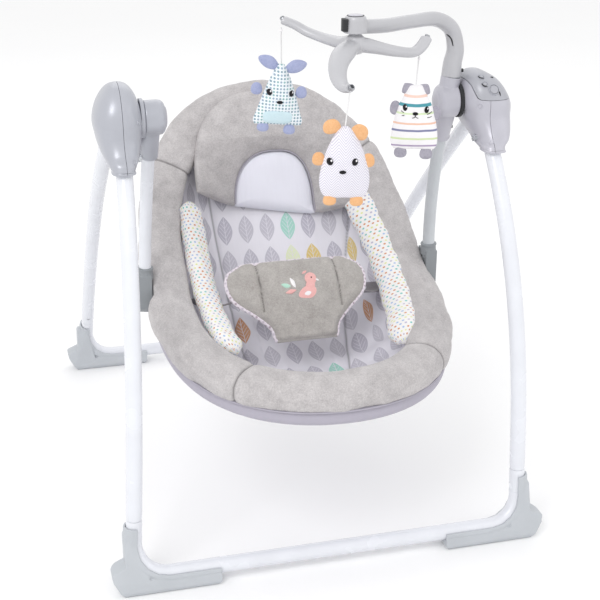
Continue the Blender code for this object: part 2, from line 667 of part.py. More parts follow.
def rim_point(turn, spread=0.0, lift=0.0):
    """Give a point of the rim's loop, moved outwards in the seat's plane and along its normal."""
    across, along = math.cos(turn), math.sin(turn)
    s = math.copysign(abs(along) ** (2 / 3.0), along)
    x = RIM_HALF_WIDTH * math.copysign(abs(across) ** (2 / 2.1), across) * (1 - 0.044 * s)
    y, z = seat_side(s)
    normal = seat_normal(s)
    forward = Vector((0.0, normal.z, -normal.y))
    outward = Vector((math.copysign(abs(across) ** 0.8, across), 0, 0)) + forward * (
        math.copysign(abs(along) ** 1.2, along))
    return Vector((x, y, z)) + outward.normalized() * spread + normal * lift


def seat_surface(s, t, lift=0.0):
    """Give a point of the fabric bucket: t runs across from -1 to 1, lift rises out of the seat."""
    depth = BUCKET_DEPTH * (1 - abs(s) ** 3) * (0.75 - 0.40 * s)
    sag = depth * (1 - abs(t) ** 2.6)
    y, z = seat_side(s)
    normal = seat_normal(s)
    reach = max(seat_half_width(s) - 0.028, 0.0)
    return Vector((t * reach, y, z)) + normal * (lift - sag - RIM_THICK - 0.002)


def plush_rim(seat):
    """Add the padded rim as one soft ring, with a pocket at each side for the recline hubs."""
    count = 30
    rings = []
    for index in range(count):
        turn = 2 * math.pi * (index + 0.5) / count
        line = []
        for step in range(8):
            angle = 2 * math.pi * (step + 0.5) / 8
            line.append(rim_point(turn, RIM_WIDE * math.cos(angle), RIM_THICK * math.sin(angle)))
        rings.append(line)
    rim = add_object("plush_rim", loop_mesh(rings), PLUSH, seat)
    y, z = RECLINE_AXIS
    for side, label in SIDES:
        ends = (side * 0.1850, side * 0.2600)
        pocket = box_mesh((min(ends), y - 0.030, z - 0.080), (max(ends), y + 0.030, z + 0.062))
        cut(rim, add_cutter(label + "_rim_pocket", pocket, seat))
    return smooth(rim, 60)


def seat_frame_path():
    """List the centre of the seat's steel loop; its two ends meet at the middle of the head."""
    count = 34
    gap = 0.004
    turns = [math.pi / 2 + gap + (2 * math.pi - 2 * gap) * index / count for index in range(count + 1)]
    return [rim_point(turn, 0.012, -SEAT_FRAME_DROP) for turn in turns]


def seat_frame(seat):
    """Add the steel loop under the rim."""
    loop = pipe_mesh(seat_frame_path(), SEAT_FRAME_RADIUS, 0.0011, 8, (0, 0, 1))
    return smooth(add_object("seat_frame", loop, WHITE_PAINT, seat))


def recline_hub(side, label, seat):
    """Add the block that grips the seat frame and carries the recline pin."""
    y, z = RECLINE_AXIS
    inside, outside = 0.1868, 0.2088
    outline = []
    for x in (inside, outside):
        for py, pz in ((y - 0.020, z - 0.042), (y + 0.020, z - 0.042), (y + 0.022, z - 0.010),
                       (y + 0.012, z + 0.013), (y - 0.012, z + 0.013), (y - 0.022, z - 0.012)):
            outline.append(mirrored((x, py, pz), side))
    block = add_object(label + "_recline_hub", hull_mesh(outline), DARK_PLASTIC, seat)
    pin = cylinder_mesh((side * 0.2000, y, z), (side * 0.2205, y, z), 0.0062, 14)
    cut(block, add_cutter(label + "_recline_pin", pin, seat), "UNION")
    path = [point for point in seat_frame_path() if point.x * side > 0 and abs(point.y - y) < 0.11]
    groove = loft_mesh(tube_rings(path, clear_radius(SEAT_FRAME_RADIUS, 8), 8, (0, 0, 1)))
    cut(block, add_cutter(label + "_frame_groove", groove, seat))
    return smooth(block)


def surface_patch(name, finish, rows, low, high, parent):
    """Make a closed pad between a lower and an upper surface that both map (row, column) to a point."""
    def build(work):
        grids = []
        for surface in (low, high):
            grids.append([[work.verts.new(surface(i, j)) for j in range(rows[1] + 1)]
                          for i in range(rows[0] + 1)])
        under, over = grids
        for i in range(rows[0]):
            for j in range(rows[1]):
                work.faces.new((under[i][j], under[i][j + 1], under[i + 1][j + 1], under[i + 1][j]))
                work.faces.new((over[i][j], over[i + 1][j], over[i + 1][j + 1], over[i][j + 1]))
        edge = [(i, 0) for i in range(rows[0] + 1)] + [(rows[0], j) for j in range(1, rows[1] + 1)]
        edge += [(i, rows[1]) for i in range(rows[0] - 1, -1, -1)] + [(0, j) for j in range(rows[1] - 1, 0, -1)]
        for (i, j), (k, m) in zip(edge, edge[1:] + edge[:1]):
            work.faces.new((under[i][j], over[i][j], over[k][m], under[k][m]))
    return smooth(add_object(name, mesh_from(build), finish, parent), 60)


def fabric_bucket(seat):
    """Add the fabric seat that hangs inside the rim."""
    rows = (10, 8)

    def at(lift):
        return lambda i, j: seat_surface(-0.88 + 1.76 * i / rows[0], -1 + 2 * j / rows[1], lift)
    return surface_patch("fabric_bucket", LINER, rows, at(-BUCKET_WALL), at(0.0), seat)


def head_pillow(seat):
    """Add the arch-shaped head pillow that lies on the seat's back."""
    rows = (6, 6)

    def at(lift, crown):
        def point(i, j):
            u, v = i / rows[0], -1 + 2 * j / rows[1]
            s = 0.46 + 0.48 * u
            round_off = math.sqrt(max(1 - (max(u - 0.35, 0) / 0.70) ** 2, 0.15))
            across = 0.110 * round_off * v
            rise = 0.010 + 0.036 * min(u / 0.6, 1.0)
            bulge = crown * (1 - 0.55 * v * v) * (1 - 0.4 * (2 * u - 1) ** 2)
            y, z = seat_side(s)
            return Vector((across, y, z)) + seat_normal(s) * (rise + lift + bulge - RIM_THICK)
        return point
    return surface_patch("head_pillow", PLUSH, rows, at(0.0, 0.0), at(0.008, 0.024), seat)


def side_bolster(side, label, seat):
    """Add a soft dotted roll along the inside of the rim."""
    path = []
    for step in range(9):
        s = 0.42 - 1.10 * step / 8
        inset = seat_half_width(s) - RIM_WIDE - 0.0175
        path.append(Vector((side * inset, *seat_side(s))) - seat_normal(s) * 0.002)
    radii = [0.008, 0.0135, 0.015, 0.0155, 0.0155, 0.0155, 0.0155, 0.0135, 0.008]
    roll = loft_mesh(tube_rings(path, radii, 8, (1, 0, 0)))
    return smooth(add_object(label + "_side_bolster", roll, DOTS, seat), 60)


def restraint_pad(seat):
    """Add the waist pad, which narrows into the crotch strap that reaches down to the seat."""
    line = smooth_path(((0, 0.050, 0.372), (0, 0.020, 0.352), (0, -0.012, 0.318), (0, -0.032, 0.285),
                        (0, -0.042, 0.262)), 9)
    widths = [0.070, 0.102, 0.110, 0.100, 0.072, 0.052, 0.046, 0.030, 0.018]

    def at(lift):
        def point(i, j):
            here = line[i]
            ahead = line[min(i + 1, 8)] - line[max(i - 1, 0)]
            normal = Vector((0, ahead.z, -ahead.y)).normalized()
            v = -1 + 2 * j / 6
            drape = Vector((0, 0.020, -0.010)) * (v * v) * widths[i] / 0.11
            return here + Vector((widths[i] * v, 0, 0)) + drape + normal * lift
        return point
    return surface_patch("restraint_pad", PLUSH, (8, 6), at(-0.006), at(0.006), seat)


# ---------------------------------------------------------------- toy bar and toys
def toy_bar(turning):
    """Add the curved bar from the right pivot head to the end hub over the seat."""
    x, y, z = BAR_ROOT
    spots = ((x, y, z - 0.006), (x + 0.001, y, z + 0.018), (0.2140, -0.003, 0.684), (0.2030, -0.011, 0.712),
             (0.1720, -0.031, 0.7300), (0.1250, -0.065, 0.7345), (0.0780, -0.100, 0.7370),
             (0.0330, -0.1310, 0.7455))
    path = smooth_path(spots, 14)
    radii = [0.0140 - 0.0052 * min(step / 9, 1.0) for step in range(14)]
    bar = add_object("toy_bar", loft_mesh(tube_rings(path, radii, 12)), SILVER_PLASTIC, turning)
    below = box_mesh((x - 0.03, y - 0.03, z - 0.03), (x + 0.03, y + 0.03, z))
    cut(bar, add_cutter("toy_bar_root_face", below, turning))
    plug = cylinder_mesh((x, y, z - 0.0205), (x, y, z + 0.006), 0.0102, 16)
    cut(bar, add_cutter("toy_bar_plug", plug, turning), "UNION")
    cx, cy, cz = HANGER_CENTRE
    end_hub = cylinder_mesh((cx, cy, cz + 0.0115), (cx, cy, cz + 0.0370), 0.0150, 16, 0.0135)
    cut(bar, add_cutter("toy_bar_end_hub", end_hub, turning), "UNION")
    stem_bore = cylinder_mesh((cx, cy, cz), (cx, cy, cz + 0.0295), 0.0066, 14)
    cut(bar, add_cutter("stem_bore", stem_bore, turning))
    button_hole = cylinder_mesh((x + 0.0045, y, z + 0.0075), (x + 0.020, y, z + 0.0075), 0.0032, 8)
    cut(bar, add_cutter("toy_bar_button_hole", button_hole, turning))
    button = cylinder_mesh((x + 0.0080, y, z + 0.0075), (x + 0.0172, y, z + 0.0075), 0.0026, 8)
    add_object("toy_bar_snap_button", button, DARK_PLASTIC, turning, (x + 0.0145, y, z + 0.0075))
    return smooth(bar)


def hanger_leg_directions():
    """Give the flat directions of the hanger's three legs: right, front and left."""
    return [math.radians(HANGER_TURN + offset) for offset in (0.0, -120.0, 120.0)]


def hanger_leg_point(turn, reach, lift):
    """Give a point along a hanger leg; the hanger leans forwards by its tilt."""
    cx, cy, cz = HANGER_CENTRE
    turn = turn - math.radians(HANGER_SWIRL) * (1 - min(reach / 0.106, 1.0) ** 1.5)
    ahead = reach * math.sin(turn)
    return Vector((cx + reach * math.cos(turn), cy + ahead,
                   cz + ahead * math.tan(math.radians(HANGER_TILT)) + lift))


def toy_hanger(spider):
    """Add the three-legged hanger with its stem; each leg droops and turns up at the tip."""
    cx, cy, cz = HANGER_CENTRE
    body = loft_mesh([ring((cx, cy, cz + lift), (1, 0, 0), (0, 1, 0), radius, radius, 12)
                      for lift, radius in ((-0.014, 0.007), (-0.011, 0.0120), (0.004, 0.0130), (0.0100, 0.0085))])
    hanger = add_object("toy_hanger", body, SILVER_PLASTIC, spider)
    stem = cylinder_mesh((cx, cy, cz + 0.005), (cx, cy, cz + 0.0290), 0.0060, 14)
    cut(hanger, add_cutter("hanger_stem", stem, spider), "UNION")
    profile = ((0.002, -0.002, 0.0105), (0.030, -0.006, 0.0100), (0.055, -0.012, 0.0090),
               (0.078, -0.015, 0.0085), (0.096, -0.009, 0.0080), (0.107, -0.001, 0.0055))
    for number, turn in enumerate(hanger_leg_directions()):
        path = [hanger_leg_point(turn, reach, lift) for reach, lift, radius in profile]
        rings = tube_rings(path, [radius for reach, lift, radius in profile], 10, (0, 0, 1), 0.60)
        cut(hanger, add_cutter(f"hanger_leg_{number}", loft_mesh(rings), spider), "UNION")
    return smooth(hanger)


TOYS = (("striped", 0, (0.0890, -0.0235), 0.0836, 0.0300, TOY_STRIPE, 0.0362,
         ((0.00, 0.20), (0.12, 0.42), (0.35, 0.80), (0.72, 1.00), (0.93, 0.96), (1.00, 0.70))),
        ("herringbone", 1, (0.1040, -0.0095), 0.0957, 0.0320, TOY_ORANGE, 0.0376,
         ((0.00, 0.12), (0.18, 0.45), (0.45, 0.78), (0.76, 1.00), (0.95, 0.88), (1.00, 0.60))),
        ("triangle", 2, (0.1060, -0.0095), 0.0792, 0.0324, TOY_BLUE, 0.0462,
         ((0.00, 0.12), (0.20, 0.36), (0.50, 0.62), (0.80, 0.86), (0.96, 1.00), (1.00, 0.86))))
TOY_HALF_DEPTH = 0.0128


def toy(name, turn, hook_spot, height, half_width, finish, string_length, outline, parent):
    """Add one plush toy and the string that it swings on."""
    hook = hanger_leg_point(turn, *hook_spot)
    pendulum = add_empty(name + "_toy_axis", hook, parent)
    top = hook - Vector((0, 0, string_length))
    points = [hook + (top - hook) * step / 5 for step in range(6)]
    line = cord_curve([point - hook for point in points], STRING_RADIUS)
    string = bpy.data.objects.new(name + "_toy_string", line)
    bpy.context.collection.objects.link(string)
    string.parent = pendulum
    line.materials.append(material(CORD))
    rings = []
    for down, wide in outline:
        middle = top - Vector((0, 0, 0.0006 + height * down))
        rings.append(ring(middle, (1, 0, 0), (0, 1, 0), half_width * wide,
                          TOY_HALF_DEPTH * math.sqrt(wide) * (0.75 if down in (0.0, 1.0) else 1.0), 12))
    smooth(add_object(name + "_toy", loft_mesh(rings), finish, pendulum), 60)


# ---------------------------------------------------------------- assembly
def main():
    """Build the whole swing."""
    clear_scene()
    root = add_empty("swing_origin", (0.0, 0.0, 0.0))
    fold = add_empty("rear_frame_axis", (0.0, *FOLD_AXIS), root)
    swing = add_empty("swing_axis", (0.0, 0.0, PIVOT_HEIGHT), root)
    seat = add_empty("recline_axis", (0.0, *RECLINE_AXIS), swing)
    turning = add_empty("toy_bar_axis", BAR_ROOT, swing)
    spider = add_empty("toy_hanger_axis", HANGER_CENTRE, turning)

    front_bar = base_bar("front_base_bar", front_leg_at, FRONT_BAR_Y, root)
    rear_bar = base_bar("rear_base_bar", rear_leg_at, REAR_BAR_Y, fold)
    for side, label in SIDES:
        front = leg(label + "_front_leg", front_leg_at, LEG_TOP_FRONT, side, root)
        rear = leg(label + "_rear_leg", rear_leg_at, LEG_TOP_REAR, side, fold)
        foot(label + "_front_foot", front_leg_at, FRONT_BAR_Y, side, root)
        foot(label + "_rear_foot", rear_leg_at, REAR_BAR_Y, side, fold)
        snap_button(label + "_front_snap_button", front, front_bar, front_leg_at, 1.0, side, root)
        snap_button(label + "_rear_snap_button", rear, rear_bar, rear_leg_at, -1.0, side, fold)
        fold_pin(side, label, rear, fold)
        outer, inner = hub(side, label, root)
        release_button(side, label, inner, root)
        pivot_bush(side, label, root)
        if side == RIGHT:
            control_panel(outer, inner, root)
        head = pivot_head(side, label, swing)
        pivot_shaft(side, label, swing)
        arm = hanger_arm(side, label, WHITE_PAINT if side == LEFT else PALE_PLASTIC, swing)
        arm_snap_button(side, label, head, arm, swing)
        seat_bracket(side, label, swing)
        recline_hub(side, label, seat)
        side_bolster(side, label, seat)
    drive(root, swing)
    plush_rim(seat)
    seat_frame(seat)
    fabric_bucket(seat)
    head_pillow(seat)
    restraint_pad(seat)
    toy_bar(turning)
    toy_hanger(spider)
    turns = hanger_leg_directions()
    for name, number, hook_spot, height, half_width, finish, string_length, outline in TOYS:
        toy(name, turns[number], hook_spot, height, half_width, finish, string_length, outline, spider)


main()
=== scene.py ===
"""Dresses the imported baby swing: smooth shells and tubes, plush seat, printed liner, waist pad and plush toys.

Metres.  Places are given in the swing's own frame, whose y is 0 under the pivot line; make_object moves
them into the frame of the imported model.
"""

from __future__ import annotations

import logging
import math
from dataclasses import dataclass, field
from enum import Enum
from typing import Callable, Sequence

import bpy
import numpy as np
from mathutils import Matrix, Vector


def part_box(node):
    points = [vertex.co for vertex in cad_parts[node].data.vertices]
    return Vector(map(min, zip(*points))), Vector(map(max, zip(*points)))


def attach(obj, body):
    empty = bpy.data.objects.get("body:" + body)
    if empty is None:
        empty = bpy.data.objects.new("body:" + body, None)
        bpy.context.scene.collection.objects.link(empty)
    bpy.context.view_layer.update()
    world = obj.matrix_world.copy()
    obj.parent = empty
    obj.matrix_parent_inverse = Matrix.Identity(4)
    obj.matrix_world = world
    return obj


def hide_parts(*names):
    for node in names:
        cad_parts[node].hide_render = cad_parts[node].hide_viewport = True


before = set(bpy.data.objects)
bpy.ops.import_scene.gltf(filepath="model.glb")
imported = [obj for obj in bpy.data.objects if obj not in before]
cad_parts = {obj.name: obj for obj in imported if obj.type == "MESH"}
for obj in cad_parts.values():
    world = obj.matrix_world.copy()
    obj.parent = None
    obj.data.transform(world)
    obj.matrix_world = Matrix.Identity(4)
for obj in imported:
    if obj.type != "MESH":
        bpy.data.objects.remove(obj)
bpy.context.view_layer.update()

LOG = logging.getLogger("baby_swing")
SHIFT = np.array([0.0, -0.1628, 0.0])
PIVOT_HEIGHT = 0.611
FOLD_AXIS = (0.0360, 0.578)
RECLINE_AXIS = (0.076, 0.334)
HUB_POWER = 2.7
BOLSTER_POWER = 2.3
STRING_RADIUS = 0.0009
TAU = 2.0 * math.pi

Array = np.ndarray
Colour = tuple[float, float, float]


class Body(str, Enum):
    """Names of the bodies that pieces ride on."""

    BASE = "base_frame"
    REAR = "rear_frame"
    SWING = "swing_arms"
    SEAT = "seat"
    BAR = "toy_bar"
    HANGER = "toy_hanger"


class Side(Enum):
    """The two sides of the swing, seen by the person who faces it."""

    LEFT = -1.0
    RIGHT = 1.0

    @property
    def label(self) -> str:
        """Word used in piece names."""
        return self.name.lower()


def rgb(red: int, green: int, blue: int) -> Colour:
    """Turn screen values of 0 to 255 into linear ones."""
    values = [channel / 255.0 for channel in (red, green, blue)]
    return tuple(v / 12.92 if v <= 0.04045 else ((v + 0.055) / 1.055) ** 2.4 for v in values)


# ------------------------------------------------------------------ arrays and shapes
def smooth_curve(points: Sequence[Sequence[float]], count: int) -> Array:
    """Read a Catmull-Rom curve through points: a cubic between each pair, with its slope from both sides.

    Args:
        points: the points that the curve passes through.
        count: how many evenly numbered points to give back.

    Returns:
        Array of count points.
    """
    given = np.asarray(points, float)
    padded = np.vstack([2 * given[0] - given[1], given, 2 * given[-1] - given[-2]])
    place = np.linspace(0, len(given) - 1, count)
    index = np.minimum(place.astype(int), len(given) - 2)
    t = (place - index)[:, None]
    a, b, c, d = (padded[index + shift] for shift in range(4))
    return 0.5 * (2 * b + (c - a) * t + (2 * a - 5 * b + 4 * c - d) * t**2 + (3 * b - 3 * c + d - a) * t**3)


def unit(vectors: Array) -> Array:
    """Scale vectors to length one."""
    return vectors / np.maximum(np.linalg.norm(vectors, axis=-1, keepdims=True), 1e-12)


@dataclass
class Shape:
    """A mesh as arrays, in the swing's own frame."""

    points: Array
    quads: Array
    tris: Array
    quad_uv: Array
    tri_uv: Array

    def __add__(self, other: "Shape") -> "Shape":
        """Put two shapes into one mesh."""
        more = len(self.points)
        return Shape(np.vstack([self.points, other.points]), np.vstack([self.quads, other.quads + more]),
                     np.vstack([self.tris, other.tris + more]), np.vstack([self.quad_uv, other.quad_uv]),
                     np.vstack([self.tri_uv, other.tri_uv]))

    def mapped(self, change: Callable[[Array], Array]) -> "Shape":
        """Give the same faces on changed points."""
        return Shape(change(self.points), self.quads, self.tris, self.quad_uv, self.tri_uv)

    def volume(self) -> float:
        """Six times the signed volume, from the fan of every face."""
        p, q, t = self.points, self.quads, self.tris
        fans = [t] if len(t) else []
        if len(q):
            fans += [q[:, [0, 1, 2]], q[:, [0, 2, 3]]]
        return float(sum(np.einsum("ij,ij->", p[f[:, 0]], np.cross(p[f[:, 1]], p[f[:, 2]])) for f in fans))

    def outward(self) -> "Shape":
        """Turn a closed shape's faces outwards."""
        if self.volume() >= 0:
            return self
        return Shape(self.points, self.quads[:, ::-1], self.tris[:, ::-1], self.quad_uv[:, ::-1],
                     self.tri_uv[:, ::-1])


def skin(rows: Array, ring: bool = True, loop: bool = False, capped: bool = True,
         uv: Array | None = None) -> Shape:
    """Join a grid of points (rows, columns, 3) into faces.

    Args:
        rows: the grid.
        ring: the last column joins the first.
        loop: the last row joins the first.
        capped: both end rows are closed by a fan about their middle.
        uv: grid of map places, one column wider than rows for a ring and one row longer for a loop.

    Returns:
        The shape, turned outwards.
    """
    n, m = rows.shape[:2]
    i = np.arange(n if loop else n - 1)[:, None]
    j = np.arange(m if ring else m - 1)[None, :]
    after_i, after_j = (i + 1) % n, (j + 1) % m
    quads = np.stack(np.broadcast_arrays(i * m + j, i * m + after_j, after_i * m + after_j, after_i * m + j),
                     -1).reshape(-1, 4)
    if uv is None:
        across = np.linspace(0, 1, m + ring)[None, :] + np.zeros((n + loop, 1))
        along = np.linspace(0, 1, n + loop)[:, None] + np.zeros((1, m + ring))
        uv = np.stack([across, along], -1)
    corner = [uv[i + di, j + dj] for di, dj in ((0, 0), (0, 1), (1, 1), (1, 0))]
    quad_uv = np.stack(corner, -2).reshape(-1, 4, 2)
    points = rows.reshape(-1, 3)
    tris, tri_uv = np.zeros((0, 3), int), np.zeros((0, 3, 2))
    if capped and not loop and ring:
        middles = np.stack([rows[0].mean(0), rows[-1].mean(0)])
        column = np.arange(m)
        after = (column + 1) % m
        first, last = n * m, n * m + 1
        base = (n - 1) * m
        tris = np.vstack([np.stack([np.full(m, first), after, column], -1),
                          np.stack([np.full(m, last), base + column, base + after], -1)])
        mid0, mid1 = uv[0].mean(0), uv[-1].mean(0)
        tri_uv = np.concatenate([np.stack([np.tile(mid0, (m, 1)), uv[0, 1:m + 1], uv[0, :m]], 1),
                                 np.stack([np.tile(mid1, (m, 1)), uv[-1, :m], uv[-1, 1:m + 1]], 1)])
        points = np.vstack([points, middles])
    return Shape(points, quads, tris, quad_uv, tri_uv).outward()


def slab(top: Array, bottom: Array, uv: Array | None = None) -> Shape:
    """Make a closed pad from an upper and a lower grid, whose edges are joined by the outer loop.

    The two grids become one grid that is closed like a flattened tube, with its two ends drawn shut.
    """
    n, m = top.shape[:2]
    if uv is None:
        uv = np.stack(np.meshgrid(np.linspace(0, 1, m), np.linspace(0, 1, n)), -1)
    rows = np.concatenate([top, bottom[:, ::-1]], 1)
    wide = np.concatenate([uv, uv[:, ::-1], uv[:, :1]], 1)
    shape = skin(rows, capped=False, uv=wide)
    size = 2 * m
    j = np.arange(m - 1)
    ends, end_uv = [], []
    for row, flip in ((0, False), (n - 1, True)):
        base = row * size
        faces = np.stack([base + j, base + size - 1 - j, base + size - 2 - j, base + j + 1], -1)
        maps = np.stack([uv[row, j], uv[row, j], uv[row, j + 1], uv[row, j + 1]], 1)
        ends.append(faces[:, ::-1] if flip else faces)
        end_uv.append(maps[:, ::-1] if flip else maps)
    faces, maps = np.vstack(ends), np.vstack(end_uv)
    if shape.quads[0][1] != shape.quads[0][0] + 1:
        faces, maps = faces[:, ::-1], maps[:, ::-1]
    shape.quads, shape.quad_uv = np.vstack([shape.quads, faces]), np.vstack([shape.quad_uv, maps])
    return shape


def squircle(turn: Array, power: float) -> Array:
    """Give how far a superellipse of a power lies from its middle, at angles."""
    return (np.abs(np.cos(turn)) ** power + np.abs(np.sin(turn)) ** power) ** (-1 / power)


def frames(path: Array, up: Sequence[float]) -> tuple[Array, Array]:
    """Give two directions across a path at each point: up, made square to the path, and their cross."""
    along = unit(np.gradient(path, axis=0))
    lift = np.asarray(up, float)
    lift = unit(lift - along * (along @ lift)[:, None])
    return np.cross(along, lift), lift


def sweep(path: Array, radius: float | Array, sides: int = 32, up: Sequence[float] = (0, 1, 0),
          flat: float = 1.0, power: float = 2.0) -> Array:
    """Carry a rounded section along a path: each ring is a superellipse of the given power.

    Args:
        path: points of the centre line.
        radius: one radius, or one for each point.
        sides: points in a ring.
        up: direction that the section keeps.
        flat: height of the section as a share of its width.
        power: 2 gives an ellipse, more gives a rounded box.

    Returns:
        Grid of points (path, sides, 3).
    """
    across, lift = frames(path, up)
    turn = TAU * np.arange(sides) / sides
    bulge = squircle(turn, power)
    size = np.broadcast_to(np.asarray(radius, float), (len(path),))[:, None, None]
    wide = (bulge * np.cos(turn))[None, :, None]
    high = (bulge * np.sin(turn) * flat)[None, :, None]
    return path[:, None, :] + size * (wide * across[:, None, :] + high * lift[:, None, :])


def tube(path: Array, radius: float | Array, wall: float, sides: int = 32,
         up: Sequence[float] = (0, 1, 0)) -> Shape:
    """Make an open-ended tube with a wall: its outer skin turns back inside at both ends."""
    outer = sweep(path, radius, sides, up)
    inner = sweep(path, np.asarray(radius, float) - wall, sides, up)
    return skin(np.concatenate([outer, inner[::-1]]), loop=True)


def lathe(profile: Sequence[tuple[float, float]], centre: Sequence[float], axis: Sequence[float],
          sides: int = 48, count: int | None = None) -> Shape:
    """Turn a profile of (distance along the axis, radius) round an axis."""
    line = np.asarray(profile, float) if count is None else smooth_curve(profile, count)
    axis = unit(np.asarray(axis, float))
    helper = np.array([0.0, 0.0, 1.0]) if abs(axis[2]) < 0.9 else np.array([0.0, 1.0, 0.0])
    across = unit(np.cross(axis, helper))
    over = np.cross(axis, across)
    turn = TAU * np.arange(sides) / sides
    flat = np.cos(turn)[:, None] * across + np.sin(turn)[:, None] * over
    rows = (np.asarray(centre, float) + line[:, :1, None] * axis + np.maximum(line[:, 1:2, None], 0.0) * flat)
    return skin(rows)


def lens(centre: Sequence[float], half_width: float, half_height: float, half_depth: float, turn: float = 0.0,
         power: float = 2.0, sides: int = 40, taper: float = 0.0) -> Shape:
    """Make a small stuffed shape that faces -Y: rings from its front pole to its back pole.

    A ring's size is the sine of its angle, raised to 0.7 so that the rim is a plain seam; taper narrows
    its lower end.
    """
    polar = np.linspace(0.04, math.pi - 0.04, 19)[:, None]
    ring = TAU * np.arange(sides)[None, :] / sides
    bulge = squircle(ring, power)
    size = np.sin(polar) ** 0.7 * bulge
    x = half_width * size * np.cos(ring)
    z = half_height * size * np.sin(ring)
    x = x * (1 + taper * z / half_height)
    y = -half_depth * np.cos(polar) + 0 * ring
    c, s = math.cos(turn), math.sin(turn)
    return skin(np.asarray(centre, float) + np.stack([c * x - s * z, y, s * x + c * z], -1))


def ripple(points: Array, size: float, seed: int) -> Array:
    """Give each point a smooth value about -1 to 1: a sum of a few waves in seeded directions."""
    rng = np.random.default_rng(seed)
    total = np.zeros(points.shape[:-1])
    for _ in range(7):
        way = unit(rng.normal(size=3))
        total += np.sin(points @ way * TAU / (size * rng.uniform(0.6, 1.7)) + rng.uniform(0, TAU))
    return total / 3.2


def make_object(name: str, shape: Shape, body: Body | str, finish: "Finish", *nodes: str, sharp: float = 40.0,
                slot: str | None = None) -> bpy.types.Object:
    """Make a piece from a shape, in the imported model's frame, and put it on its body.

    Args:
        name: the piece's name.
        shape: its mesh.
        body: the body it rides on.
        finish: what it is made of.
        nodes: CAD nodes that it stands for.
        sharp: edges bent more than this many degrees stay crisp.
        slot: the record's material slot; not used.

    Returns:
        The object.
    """
    piece = bare(name, shape)
    layer = piece.data.uv_layers.new(name="cloth")
    corners = np.concatenate([shape.quad_uv.reshape(-1, 2), shape.tri_uv.reshape(-1, 2)])
    layer.data.foreach_set("uv", corners.astype(np.float32).ravel())
    return place(piece, body, finish, *nodes, sharp=sharp, slot=slot)


def place(piece: bpy.types.Object, body: Body | str, finish: "Finish", *nodes: str, sharp: float = 40.0,
          slot: str | None = None) -> bpy.types.Object:
    """Shade a piece, give it its finish and put it on its body."""
    piece.data.shade_smooth()
    piece.data.set_sharp_from_angle(angle=math.radians(sharp))
    piece.data.materials.clear()
    piece.data.materials.append(finish.material())
    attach(piece, body.value if isinstance(body, Body) else body)
    if nodes:
        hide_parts(*nodes)
    LOG.info("made %s", piece.name)
    return piece


def bare(name: str, shape: Shape) -> bpy.types.Object:
    """Make a plain object for modifiers to work on."""
    mesh = bpy.data.meshes.new(name)
    mesh.from_pydata((shape.points + SHIFT).tolist(), [], shape.quads.tolist() + shape.tris.tolist())
    item = bpy.data.objects.new(name, mesh)
    bpy.context.scene.collection.objects.link(item)
    return item


def apply_modifiers(item: bpy.types.Object) -> bpy.types.Object:
    """Turn an object's modifiers into plain mesh."""
    bpy.context.view_layer.update()
    seen = item.evaluated_get(bpy.context.evaluated_depsgraph_get())
    made = bpy.data.meshes.new_from_object(seen)
    item.modifiers.clear()
    old, item.data = item.data, made
    bpy.data.meshes.remove(old)
    return item


def fuse(item: bpy.types.Object, voxel: float, rounds: int) -> bpy.types.Object:
    """Melt overlapping solids into one skin and round its edges."""
    remesh = item.modifiers.new("melt", "REMESH")
    remesh.mode = "VOXEL"
    remesh.voxel_size = voxel
    if rounds:
        relax = item.modifiers.new("round", "SMOOTH")
        relax.factor = 0.5
        relax.iterations = rounds
    return apply_modifiers(item)


def carve(item: bpy.types.Object, *cutters: Shape, keep: bool = False) -> bpy.types.Object:
    """Cut solids out of an object, or keep only what is inside them."""
    for number, cutter in enumerate(cutters):
        tool = bare(f"cutter_{number}", cutter)
        step = item.modifiers.new("cut", "BOOLEAN")
        step.operation = "INTERSECT" if keep else "DIFFERENCE"
        step.object = tool
        step.solver = "EXACT"
        apply_modifiers(item)
        bpy.data.objects.remove(tool)
    return item


def copy_of(node: str) -> bpy.types.Object:
    """Copy a CAD node's mesh with its loose triangles merged."""
    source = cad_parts[node].data
    points = np.zeros(len(source.vertices) * 3, np.float32)
    source.vertices.foreach_get("co", points)
    corners = np.zeros(len(source.loops), np.int32)
    source.loops.foreach_get("vertex_index", corners)
    merged, back = np.unique(np.round(points.reshape(-1, 3).astype(float), 6), axis=0, return_inverse=True)
    faces = back.reshape(-1)[corners].reshape(-1, 3)
    mesh = bpy.data.meshes.new(node)
    mesh.from_pydata(merged.tolist(), [], faces.tolist())
    item = bpy.data.objects.new(node + "_soft", mesh)
    bpy.context.scene.collection.objects.link(item)
    return item


def box(low: Sequence[float], high: Sequence[float]) -> Shape:
    """Make a plain block, for cutting only."""
    (x0, y0, z0), (x1, y1, z1) = low, high
    ring = np.array([[x0, y0], [x1, y0], [x1, y1], [x0, y1]])
    rows = np.stack([np.column_stack([ring, np.full(4, z)]) for z in (z0, z1)])
    return skin(rows)


def prism(outline: Sequence[tuple[float, float]], y0: float, y1: float) -> Shape:
    """Make an upright-sided block from an outline in x and z, for cutting only."""
    line = np.asarray(outline, float)
    return skin(np.stack([np.column_stack([line[:, 0], np.full(len(line), y), line[:, 1]]) for y in (y0, y1)]))


